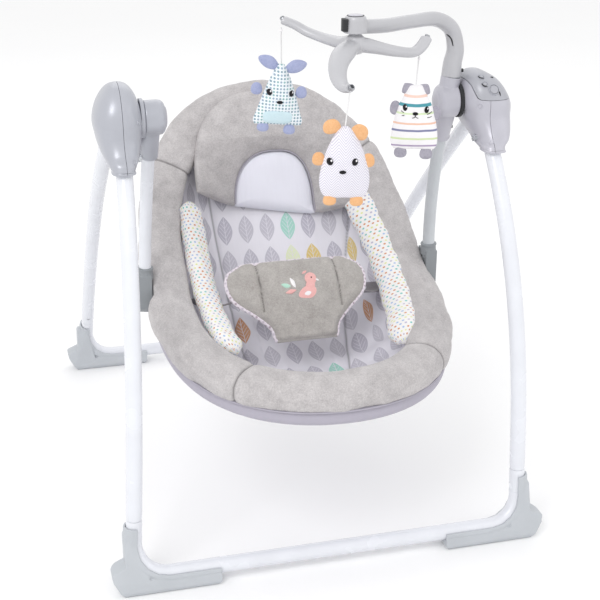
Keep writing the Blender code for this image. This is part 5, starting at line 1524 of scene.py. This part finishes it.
@dataclass
class WaistPad:
    """The waist pad with its binding, sewn channels, embroidery and straps."""

    channel: float = 0.0585
    end: float = 6.15
    widths: tuple[float, ...] = (0.088, 0.1010, 0.1045, 0.097, 0.071, 0.051, 0.0455, 0.033, 0.018)

    def centre(self, place_at: Array) -> tuple[Array, Array]:
        """Give the middle line's points and the direction out of the pad, at places from 0 to 8."""
        spots = [(0, 0.050, 0.372), (0, 0.020, 0.352), (0, -0.012, 0.318), (0, -0.032, 0.285), (0, -0.042, 0.262)]
        fine = smooth_curve(spots, 161)
        index = np.clip(place_at / 8, 0, 1) * 160
        low = np.minimum(index.astype(int), 159)
        part = (index - low)[..., None]
        line = fine[low] * (1 - part) + fine[low + 1] * part
        slope = unit(fine[low + 1] - fine[low])
        return line, np.stack([0 * slope[..., 0], slope[..., 2], -slope[..., 1]], -1)

    def half(self, place_at: Array) -> Array:
        """Give the pad's half width, smooth between the stated ones."""
        table = smooth_curve([(w, 0.0) for w in self.widths], 161)[:, 0]
        return np.interp(np.clip(place_at, 0, 8) / 8 * 160, np.arange(161), table)

    def surface(self, place_at: Array, v: Array, lift: Array) -> Array:
        """Give points at a place down the pad, a share across it and a height over its middle layer."""
        place_at, v, lift = np.broadcast_arrays(np.asarray(place_at, float), v, lift)
        line, out = self.centre(place_at)
        half = self.half(place_at)
        drape = (v * v * half / 0.11)[..., None] * np.array([0.0, 0.020, -0.010])
        return line + np.stack([half * v, 0 * v, 0 * v], -1) + drape + out * lift[..., None]

    def lobe(self, place_at: Array, v: Array) -> Array:
        """Round the top corners into lobes and dip the middle of the top edge."""
        dip = 0.12 * np.cos(np.clip(v / 0.75, -1, 1) * math.pi / 2) ** 2
        corner = 0.9 * np.clip((np.abs(v) - 0.78) / 0.22, 0, 1) ** 2
        keep = 1 - np.clip(place_at / 2.2, 0, 1)
        return place_at + (dip + corner - 0.15) * keep

    def build(self) -> None:
        """Make the pad and what is sewn to it."""
        i = np.linspace(-0.05, self.end, 110)[:, None]
        v = np.linspace(-1, 1, 101)[None, :]
        place_at = self.lobe(i, v)
        x = self.half(place_at) * v
        fill = np.clip((1 - np.abs(v)) / 0.16, 0, 1) ** 0.5 * np.clip((i + 0.05) / 0.5, 0, 1) ** 0.5
        fill = fill * np.clip((self.end - i) / 0.35, 0, 1) ** 0.5
        groove = np.exp(-(((np.abs(x) - self.channel) / 0.0035) ** 2)) * (i < 3.9)
        folds = ripple(self.surface(place_at, v, 0 * x), 0.035, 40) * 0.0011
        top = self.surface(place_at, v, 0.0008 + fill * (0.0062 - 0.0042 * groove + folds))
        low = self.surface(place_at, v, -0.0008 - fill * 0.0040)
        uv = np.stack(np.broadcast_arrays(x, i * 0.019), -1)
        pad = make_object("waist_pad", slab(top, low, uv), Body.SEAT, PAD_PLUSH, "restraint_pad", sharp=70.0,
                          slot="taupe_plush")
        line = np.exp(-(((np.abs(x) - self.channel) / 0.0009) ** 2)) * (i < 3.9)
        mark_seams_and_crease_shade(pad, np.concatenate([line, 0 * line], 1))
        self.binding(place_at, v)
        self.crotch_strap()
        self.straps()
        self.bird()

    def binding(self, place_at: Array, v: Array) -> None:
        """Bind the edge with printed tape, all the way round but for the hem."""
        left = self.surface(place_at[::-1, 0], v[0, 0], 0.0)
        over = self.surface(place_at[0, :], v[0, :], 0.0)
        right = self.surface(place_at[:, -1], v[0, -1], 0.0)
        path = np.vstack([left[:-1], over, right[1:]])
        spare = np.concatenate([[0], np.cumsum(np.linalg.norm(np.diff(path, axis=0), axis=1))])
        even = np.linspace(0, spare[-1], 360)
        path = np.stack([np.interp(even, spare, path[:, k]) for k in range(3)], -1)
        rows = sweep(path, 0.0029, 14, up=(0.05, -0.72, 0.69), flat=1.15)
        uv = np.stack(np.broadcast_arrays(np.linspace(0, 0.018, 15)[None, :], even[:, None]), -1)
        make_object("pad_binding", skin(rows, uv=uv), Body.SEAT, BINDING, sharp=70.0)
        hem = self.surface(np.full(60, self.end - 0.03) + 0 * v[0, :60], np.linspace(-1, 1, 60), 0.001)
        make_object("pad_hem", skin(sweep(hem, 0.0022, 12, up=(0, -0.7, 0.7))), Body.SEAT, PAD_PLUSH)

    def crotch_strap(self) -> None:
        """Run the narrow strap from under the hem down to the seat."""
        place_at = np.linspace(self.end - 2.2, self.end - 0.5, 30)
        path, out = self.centre(place_at)
        path = path - out * 0.0045
        ends = np.linspace(path[-1], path[-1] + np.array([0, 0.040, -0.026]), 12)[1:]
        path = np.vstack([path, ends])
        make_object("crotch_strap", skin(sweep(path, 0.0175, 28, up=(0, -1, 0.2), flat=0.10, power=5)),
                    Body.SEAT, WEBBING, slot="taupe_plush")

    def straps(self) -> None:
        """Run a webbing strap from each lobe's back down to the seat's side."""
        for side in Side:
            s = side.value
            path = smooth_curve([(s * 0.075, 0.028, 0.338), (s * 0.098, 0.034, 0.322), (s * 0.118, 0.050, 0.312),
                                 (s * 0.134, 0.078, 0.306), (s * 0.140, 0.104, 0.304)], 40)
            make_object(f"{side.label}_waist_strap", skin(sweep(path, 0.0115, 24, up=(0, 0.3, 1), flat=0.11,
                                                                power=5)), Body.SEAT, WEBBING)

    def patch(self, name: str, x: float, down: float, wide: float, high: float, turn: float, finish: Finish,
              height: float = 0.0011, pointed: float = 0.0) -> None:
        """Sew a raised satin-stitch patch on the pad; its middle is given across and down the pad."""
        share = np.linspace(1, 0.03, 12)[:, None]
        ring = TAU * np.arange(40)[None, :] / 40
        a, b = share * np.cos(ring), share * np.sin(ring)
        b = b * (1 - pointed * np.abs(a) ** 1.5)
        c, s = math.cos(turn), math.sin(turn)
        px = x + wide * a * c - high * b * s
        pi = down - (wide * a * s + high * b * c) / 0.0190
        half = self.half(pi)
        over = 0.0070 + height * (1 - share**4)
        groove = np.exp(-(((np.abs(px) - self.channel) / 0.0035) ** 2))
        top = self.surface(pi, px / half, over - 0.004 * groove)
        low = self.surface(pi, px / half, 0.0045 + 0 * over)
        make_object(name, Seat.shut_rim(top, low, np.zeros((12, 41, 2))), Body.SEAT, finish, sharp=60.0)

    def bird(self) -> None:
        """Embroider a small bird with a leafy tail."""
        parts = (("bird_body", 0.0080, 2.95, 0.0150, 0.0078, 0.20, PINK_THREAD, 0.0013, 0.25),
                 ("bird_head", 0.0155, 2.02, 0.0088, 0.0086, 0.0, PINK_THREAD, 0.0013, 0.0),
                 ("bird_neck", 0.0135, 2.50, 0.0070, 0.0060, 0.2, PINK_THREAD, 0.0012, 0.0),
                 ("bird_crest", 0.0080, 1.52, 0.0050, 0.0022, 0.5, PINK_THREAD, 0.0010, 0.6),
                 ("bird_tail_pink", -0.0170, 2.80, 0.0085, 0.0026, 0.15, PINK_THREAD, 0.0009, 0.7),
                 ("bird_tail_white", -0.0125, 2.22, 0.0075, 0.0034, -1.15, WHITE_THREAD, 0.0010, 0.5),
                 ("bird_tail_mint", -0.0225, 2.38, 0.0070, 0.0034, -0.25, MINT_THREAD, 0.0010, 0.5),
                 ("bird_wing", 0.0070, 3.02, 0.0070, 0.0034, 0.15, WHITE_THREAD, 0.0018, 0.4),
                 ("bird_beak", 0.0250, 2.18, 0.0034, 0.0014, -0.45, WHITE_THREAD, 0.0010, 0.6),
                 ("bird_eye", 0.0165, 2.00, 0.0014, 0.0014, 0.0, BLACK_THREAD, 0.0020, 0.0))
        for name, x, down, wide, high, turn, finish, height, pointed in parts:
            self.patch(name, x, down, wide, high, turn, finish, height, pointed)


# ------------------------------------------------------------------ toy bar, hanger and toys
@dataclass
class ToyBar:
    """The curved bar with its end hub, and the three-legged hanger."""

    root: tuple[float, float, float] = (0.2112, 0.0, 0.6447)
    centre: tuple[float, float, float] = (0.028, -0.134, 0.722)
    tilt: float = 13.0
    turn: float = 11.0

    def leg_point(self, turn: float, reach: Array, lift: Array, swirl: float = 24.0) -> Array:
        """Give points along a hanger leg that sweeps round on its way out; the hanger leans forwards."""
        reach = np.asarray(reach, float)
        angle = math.radians(turn) - math.radians(swirl) * (1 - np.minimum(reach / 0.106, 1.0) ** 1.5)
        ahead = reach * np.sin(angle)
        cx, cy, cz = self.centre
        return np.stack([cx + reach * np.cos(angle), cy + ahead,
                         cz + ahead * math.tan(math.radians(self.tilt)) + np.asarray(lift, float)], -1)

    def build(self) -> None:
        """Make the bar, its end hub and the hanger."""
        x, y, z = self.root
        spots = [(x, y, z + 0.0002), (x + 0.001, y, z + 0.018), (0.2140, -0.003, 0.684), (0.2030, -0.011, 0.712),
                 (0.1720, -0.031, 0.7290), (0.1250, -0.065, 0.7330), (0.0780, -0.100, 0.7352),
                 (0.0330, -0.1310, 0.7405)]
        path = smooth_curve(spots, 90)
        radii = 0.0140 - 0.0050 * np.minimum(np.linspace(0, 1.45, 90), 1.0)
        cx, cy, cz = self.centre
        hub = lathe([(0.0118, 0.0100), (0.0120, 0.0146), (0.0150, 0.0146), (0.0285, 0.0136), (0.0315, 0.0126),
                     (0.0325, 0.0108), (0.0325, 0.0020)], (cx, cy, cz), (0, 0, 1), 64)
        bar = fuse(bare("toy_bar_tube", skin(sweep(path, radii, 40)) + hub), 0.0009, 2)
        # A tapered black strip on the bend stands for the slit: painted shade for the inside of the gap, as no opening
        # is cut.
        slit_shade = skin(sweep(smooth_curve([(0.1975, -0.0145, 0.7075), (0.2030, -0.0142, 0.7000),
                                        (0.2065, -0.0135, 0.6890)], 16), np.linspace(0.0034, 0.0008, 16), 16))
        place(bar, Body.BAR, BAR_GREY, "toy_bar", slot="silver_grey_plastic")
        make_object("bar_bend_slot_shade", slit_shade, Body.BAR, BLACK)
        cap = lathe([(0.0304, 0.0094), (0.0332, 0.0094), (0.0338, 0.0086), (0.0342, 0.0048), (0.0343, 0.0004)],
                    (cx, cy, cz), (0, 0, 1), 48)
        make_object("end_hub_cap", cap, Body.BAR, PALE_SILVER)
        # A thin black ring set in the gap between the hub and its cap: painted shade in the groove.
        groove = lathe([(0.0314, 0.0094), (0.0329, 0.0095), (0.0330, 0.0106), (0.0314, 0.0108)], (cx, cy, cz),
                       (0, 0, 1), 48)
        make_object("end_hub_groove_shade", groove, Body.BAR, BLACK)
        clip = skin(sweep(np.linspace((cx - 0.0150, cy - 0.004, cz + 0.0150), (cx - 0.0150, cy - 0.004, cz + 0.0300),
                                      8), 0.0034, 20, flat=1.8, power=4))
        make_object("end_hub_clip", clip, Body.BAR, BLACK)
        joint = lathe([(-0.0004, 0.0120), (-0.0004, 0.01385), (0.0004, 0.01385), (0.0004, 0.0120)], (x, y, z),
                      (0, 0, 1), 48)
        make_object("bar_root_ring", joint, Body.BAR, DARK)
        self.hanger()

    def hanger(self) -> None:
        """Melt three swept legs and a hub into one, with wide webs between them."""
        cx, cy, cz = self.centre
        parts = lathe([(-0.0140, 0.0020), (-0.0136, 0.0080), (-0.0100, 0.0125), (0.0020, 0.0135), (0.0070, 0.0110),
                       (0.0100, 0.0072), (0.0290, 0.0066), (0.0290, 0.0010)], (cx, cy, cz), (0, 0, 1), 48)
        right = [(0.002, -0.002, 0.0125), (0.014, -0.003, 0.0130), (0.030, -0.006, 0.0112), (0.055, -0.012, 0.0095),
                 (0.078, -0.0165, 0.0088), (0.092, -0.012, 0.0085), (0.1005, -0.0055, 0.0080)]
        front = [(0.002, -0.002, 0.0125), (0.014, -0.003, 0.0135), (0.030, -0.005, 0.0145), (0.055, -0.010, 0.0120),
                 (0.078, -0.0160, 0.0098), (0.094, -0.0165, 0.0080), (0.1045, -0.0115, 0.0070)]
        left = [(0.002, -0.002, 0.0125), (0.014, -0.005, 0.0125), (0.030, -0.0108, 0.0108), (0.055, -0.0138, 0.0090),
                (0.078, -0.0118, 0.0085), (0.094, -0.0055, 0.0082), (0.1070, -0.001, 0.0080)]
        tips = []
        for offset, spots, swirl in ((0.0, right, 24.0), (-120.0, front, 31.0), (120.0, left, 24.0)):
            profile = smooth_curve(spots, 60)
            path = self.leg_point(self.turn + offset, profile[:, 0], profile[:, 1], swirl)
            parts = parts + skin(sweep(path, profile[:, 2], 32, up=(0, 0, 1), flat=0.70))
            tips.append((path[-1], unit(path[-1] - path[-5])))
        hanger = fuse(bare("toy_hanger_spider", parts), 0.0009, 8)
        place(hanger, Body.HANGER, BAR_GREY, "toy_hanger", slot="silver_grey_plastic")
        for number, (tip, along) in enumerate(tips):
            out = unit(along + np.array([0.0, -0.6, 0.9]))
            eyelet = lathe([(-0.0030, 0.0020), (0.0010, 0.0020), (0.0018, 0.0026), (0.0010, 0.0034),
                            (-0.0030, 0.0034)], tip + out * 0.0030, out, 24)
            make_object(f"hanger_eyelet_{number}", eyelet, Body.HANGER, STEEL)


@dataclass
class Toy:
    """A flat stuffed toy: body, ears, arms, feet, face and string."""

    name: str
    hook: tuple[float, float, float]
    string: float
    outline: tuple[tuple[float, float], ...]
    finish: Finish
    limbs: Finish
    yaw: float
    ears: tuple[tuple[float, float, float, float, float], ...]
    arms: tuple[tuple[float, float, float, float], ...]
    feet: tuple[tuple[float, float, float, float], ...]
    eyes: tuple[tuple[float, float], ...]
    eye_size: tuple[float, float]
    nose: tuple[float, float, float, float]
    belly: bool = False
    whiskers: bool = False
    hang: float = 0.0
    shift: float = 0.0
    lean: float = 0.0
    drop: float = 0.0
    ear_power: float = 2.3
    low: Array = field(init=False)
    high: Array = field(init=False)

    def __post_init__(self) -> None:
        """Read the CAD toy's box."""
        low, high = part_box(self.name + "_toy")
        aside = np.array([self.shift, 0.0, 0.0])
        self.low = np.array(low) - SHIFT + aside
        self.high = np.array(high) - SHIFT + aside - np.array([0.0, 0.0, self.drop])

    @property
    def middle(self) -> Array:
        """Middle of the toy's box."""
        return (self.low + self.high) / 2

    def wide(self, down: Array) -> Array:
        """Half width at a share of the way down."""
        table = smooth_curve(self.outline, 120)
        return np.interp(down, table[:, 0], table[:, 1]) * (self.high[0] - self.low[0]) / 2

    def deep(self, down: Array) -> Array:
        """Half depth at a share of the way down: a stuffed pillow that closes at its top and bottom seams."""
        full = (self.high[1] - self.low[1]) / 2
        return full * 1.06 * np.clip(np.sin(math.pi * np.clip(down, 0.0, 1.0) ** 0.72), 0.0, 1.0) ** 0.55 + 0.0004

    def front(self, u: Array, down: Array, over: Array) -> Array:
        """Give points on the toy's front: u across from -1 to 1 of its widest, a share down, a height over."""
        u, down, over = np.broadcast_arrays(np.asarray(u, float), np.asarray(down, float), over)
        x = u * (self.high[0] - self.low[0]) / 2
        c = np.clip(np.abs(x) / self.wide(down), 0, 0.995)
        y = self.middle[1] - self.deep(down) * (1 - c * c) ** 0.62 - over
        return np.stack([self.middle[0] + x, y, self.high[2] - down * (self.high[2] - self.low[2])], -1)

    def turned(self, shape: Shape) -> Shape:
        """Turn a shape by the toy's yaw about its upright axis, then lean it about its top."""
        c, s = math.cos(math.radians(self.yaw)), math.sin(math.radians(self.yaw))
        a, b = math.cos(math.radians(self.lean)), math.sin(math.radians(self.lean))
        turn = np.array([[a, 0, b], [0, 1, 0], [-b, 0, a]]) @ np.array([[c, -s, 0], [s, c, 0], [0, 0, 1]])
        pivot = np.array([self.middle[0], self.middle[1], self.high[2]])
        return shape.mapped(lambda p: (p - pivot) @ turn.T + pivot)

    def add(self, label: str, shape: Shape, finish: Finish, *nodes: str) -> bpy.types.Object:
        """Make one of the toy's pieces."""
        return make_object(f"{self.name}_{label}", self.turned(shape), self.name + "_toy", finish, *nodes,
                           sharp=70.0)

    def build(self) -> None:
        """Make the whole toy."""
        self.cord()
        down = np.linspace(0.0, 1.0, 74)[:, None]
        turn = TAU * np.arange(72)[None, :] / 72
        x = self.wide(down) * np.cos(turn)
        y = self.deep(down) * np.sign(np.sin(turn)) * np.abs(np.sin(turn)) ** 1.24
        tall = self.high[2] - self.low[2]
        rows = np.stack([self.middle[0] + x, self.middle[1] + y, self.high[2] - down * tall + 0 * x], -1)
        pucker = ripple(rows, 0.016, 5) * 0.0005
        rows[..., 1] += pucker * np.sign(y)
        if self.finish.pattern is Print.STRIPES:
            uv = np.stack(np.broadcast_arrays(np.append(x, x[:, :1], 1), down), -1)
        else:
            uv = np.stack(np.broadcast_arrays(np.append(x, x[:, :1], 1), -down * tall), -1)
        body = self.add("toy_body", skin(rows, uv=uv), self.finish, self.name + "_toy")
        self.limbs_and_face()

    def cord(self) -> None:
        """Hang the toy on its string."""
        hook = np.array(self.hook) + np.array([self.hang, 0.0, 0.0])
        end = np.array([self.middle[0], self.hook[1], self.hook[2] - self.string - self.drop])
        path = np.linspace(hook, end, 16)
        curve = bpy.data.curves.new(self.name + "_hang_string", "CURVE")
        curve.dimensions = "3D"
        curve.bevel_depth = STRING_RADIUS
        curve.bevel_resolution = 3
        curve.use_fill_caps = True
        spline = curve.splines.new("POLY")
        spline.points.add(len(path) - 1)
        flat = np.column_stack([path + SHIFT, np.ones(len(path))])
        spline.points.foreach_set("co", flat.astype(np.float32).ravel())
        piece = bpy.data.objects.new(self.name + "_hang_string", curve)
        bpy.context.scene.collection.objects.link(piece)
        curve.materials.append(STRING.material())
        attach(piece, self.name + "_toy")
        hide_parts(self.name + "_toy_string")
        knot = lens(hook - np.array([0, 0, 0.0040]), 0.0018, 0.0020, 0.0018)
        make_object(self.name + "_string_knot", knot, self.name + "_toy", WHITE_THREAD)

    def limbs_and_face(self) -> None:
        """Add ears, arms, feet, eyes, nose and the rest."""
        tall = self.high[2] - self.low[2]
        half = (self.high[0] - self.low[0]) / 2

        def spot(u: float, down: float, back: float = 0.0) -> Array:
            return np.array([self.middle[0] + u * half, self.middle[1] + back, self.high[2] - down * tall])

        for label, items in (("ear", self.ears), ("arm", self.arms), ("foot", self.feet)):
            for number, item in enumerate(items):
                u, down, wide, high = item[:4]
                turn = item[4] if len(item) > 4 else 0.0
                limb = lens(spot(u, down, 0.0010), wide, high, 0.0034, turn, self.ear_power if label == "ear" else 2.3,
                            taper=-0.12)
                self.add(f"{label}_{number}", limb, self.limbs)
        for number, (u, down) in enumerate(self.eyes):
            self.patch(f"eye_{number}", u, down, *self.eye_size, BLACK_THREAD, 0.0012)
            shine = self.eye_size[0] * 0.36
            self.patch(f"eye_shine_{number}", u + 0.42 * self.eye_size[0] / half, down - 0.35 * self.eye_size[1] / tall,
                       shine, shine * 1.2, WHITE_THREAD, 0.0018)
        u, down, wide, high = self.nose
        self.patch("nose", u, down, wide, high, BLACK_THREAD, 0.0012)
        if self.belly:
            self.patch("belly", -0.03, 0.865, 0.0190, 0.0088, MINT_FELT, 0.0006, 3.6)
        if self.whiskers:
            self.stroke("mouth_left", [(u, down + 0.02), (u - 0.03, down + 0.055), (u - 0.13, down + 0.068)])
            self.stroke("mouth_right", [(u, down + 0.02), (u + 0.03, down + 0.055), (u + 0.13, down + 0.068)])
            for number, (a, b) in enumerate((((0.50, 0.425), (0.70, 0.395)), ((0.52, 0.475), (0.70, 0.465)),
                                             ((-0.48, 0.40), (-0.60, 0.38)), ((-0.46, 0.44), (-0.56, 0.45)))):
                self.stroke(f"whisker_{number}", [a, ((a[0] + b[0]) / 2, (a[1] + b[1]) / 2 + 0.004), b])

    def patch(self, label: str, u: float, down: float, wide: float, high: float, finish: Finish, height: float,
              power: float = 2.0) -> None:
        """Sew a raised patch on the front."""
        tall, half = self.high[2] - self.low[2], (self.high[0] - self.low[0]) / 2
        share = np.linspace(1, 0.04, 10)[:, None]
        ring = TAU * np.arange(36)[None, :] / 36
        bulge = squircle(ring, power)
        a, b = share * np.cos(ring) * bulge, share * np.sin(ring) * bulge
        pu, pd = u + wide * a / half, down - high * b / tall
        top = self.front(pu, pd, 0.0005 + height * (1 - share**4) + 0 * a)
        low = self.front(pu, pd, -0.0012 + 0 * a)
        self.add(label, Seat.shut_rim(top, low, np.zeros((10, 37, 2))), finish)

    def stroke(self, label: str, spots: Sequence[tuple[float, float]]) -> None:
        """Sew a thin line on the front."""
        line = smooth_curve(spots, 14)
        path = self.front(line[:, 0], line[:, 1], np.full(14, 0.0004))
        self.add(label, skin(sweep(path, 0.00042, 8)), BLACK_THREAD)


def toys(bar: ToyBar) -> list[Toy]:
    """Set out the three toys."""
    def hook(turn: float, reach: float, lift: float) -> tuple[float, float, float]:
        return tuple(float(v) for v in bar.leg_point(bar.turn + turn, np.array(reach), np.array(lift)))

    return [
        Toy("triangle", hook(120.0, 0.106, -0.0095), 0.0462,
            ((0.00, 0.12), (0.20, 0.38), (0.50, 0.66), (0.80, 0.90), (0.93, 1.00), (1.00, 0.93)), TOY_DOTS, PERIWINKLE,
            -8.0, ((-0.50, -0.02, 0.0150, 0.0082, -0.45), (0.58, 0.03, 0.0150, 0.0085, 0.35)),
            ((-0.93, 0.42, 0.0074, 0.0080), (0.88, 0.45, 0.0074, 0.0080)),
            ((-0.58, 1.045, 0.0078, 0.0070), (0.50, 1.075, 0.0078, 0.0070)), ((-0.44, 0.445), (0.46, 0.455)),
            (0.0034, 0.0040), (0.0, 0.60, 0.0040, 0.0022), belly=True,
            hang=-0.0042, shift=-0.0036, lean=4.2, ear_power=1.7),
        Toy("herringbone", hook(-120.0, 0.104, -0.0095), 0.0376,
            ((0.00, 0.09), (0.07, 0.30), (0.29, 0.63), (0.55, 0.86), (0.75, 0.94), (0.91, 0.87), (1.00, 0.67)),
            TOY_CHEVRON, ORANGE_FELT, -12.0,
            ((-0.50, 0.005, 0.0105, 0.0088, 0.25), (0.54, 0.085, 0.0105, 0.0092, -0.5)),
            ((-0.97, 0.450, 0.0076, 0.0082), (0.88, 0.480, 0.0076, 0.0086)),
            ((-0.54, 1.030, 0.0080, 0.0074), (0.47, 1.045, 0.0080, 0.0074)), ((-0.57, 0.46), (0.35, 0.46)),
            (0.0038, 0.0044), (-0.10, 0.60, 0.0042, 0.0023), shift=-0.0055, drop=0.0085),
        Toy("striped", hook(0.0, 0.089, -0.0235), 0.0362,
            ((0.00, 0.28), (0.12, 0.44), (0.34, 0.74), (0.55, 0.90), (0.78, 1.00), (0.93, 0.98), (1.00, 0.86)),
            TOY_STRIPES, GREY_FELT, -18.0, ((-0.34, 0.060, 0.0090, 0.0078, 0.6), (0.36, 0.070, 0.0090, 0.0078, -0.6)),
            ((-0.84, 0.36, 0.0070, 0.0092), (0.86, 0.44, 0.0070, 0.0095)),
            ((-0.56, 1.050, 0.0082, 0.0080), (0.54, 1.070, 0.0082, 0.0080)), ((-0.44, 0.325), (0.48, 0.355)),
            (0.0030, 0.0042), (0.0, 0.41, 0.0036, 0.0022), whiskers=True,
            hang=-0.0010, shift=-0.0034, ear_power=1.35),
    ]


# ------------------------------------------------------------------ carried-over pieces
def dress_carried_nodes() -> None:
    """Give every CAD node that still shows its own finish."""
    finishes = {"snap_button": STEEL, "arm_snap": BLACK, "toy_bar_snap": BLACK, "release_button": CLEAR,
                "fold_pin": STEEL, "shaft": STEEL, "bush": NYLON_WHITE, "board": BOARD, "coil": COPPER,
                "magnet": STEEL, "recline_hub": DARK, "seat_frame": WHITE_PAINT}
    for name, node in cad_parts.items():
        if node.hide_render:
            continue
        matches = [finish for word, finish in finishes.items() if word in name]
        finish = matches[-1] if matches else SILVER
        node.data.materials.clear()
        node.data.materials.append(finish.material())
        LOG.info("dressed %s", name)


def main() -> None:
    """Build the swing's looks in order."""
    Stage().build()
    bar = ToyBar()
    for toy in toys(bar):
        toy.build()
    front = front_legs()
    rear = Leg("rear", Body.REAR, 0.588, 0.555)
    front.build()
    rear.build()
    Hub(Side.LEFT, SILVER, screws=(((-0.2303, -0.0386, 0.6146), (0.819, -0.564, 0.108)),
                                   ((-0.2405, -0.0612, 0.5685), (0.624, -0.606, 0.493)))).build()
    Hub(Side.RIGHT, PALE_SILVER, screws=(((0.2374, -0.0450, 0.6107), (-0.546, -0.838, 0.012)),
                                         ((0.2494, -0.0647, 0.5649), (-0.524, -0.639, 0.563)))).build()
    Arm(Side.LEFT, SILVER, WHITE_PAINT).build()
    Arm(Side.RIGHT, PALE_SILVER, ARM_GREY).build()
    Seat().build()
    WaistPad().build()
    bar.build()
    dress_carried_nodes()


if __name__ == "__main__":
    logging.basicConfig(level=logging.INFO, format="%(message)s")
    main()
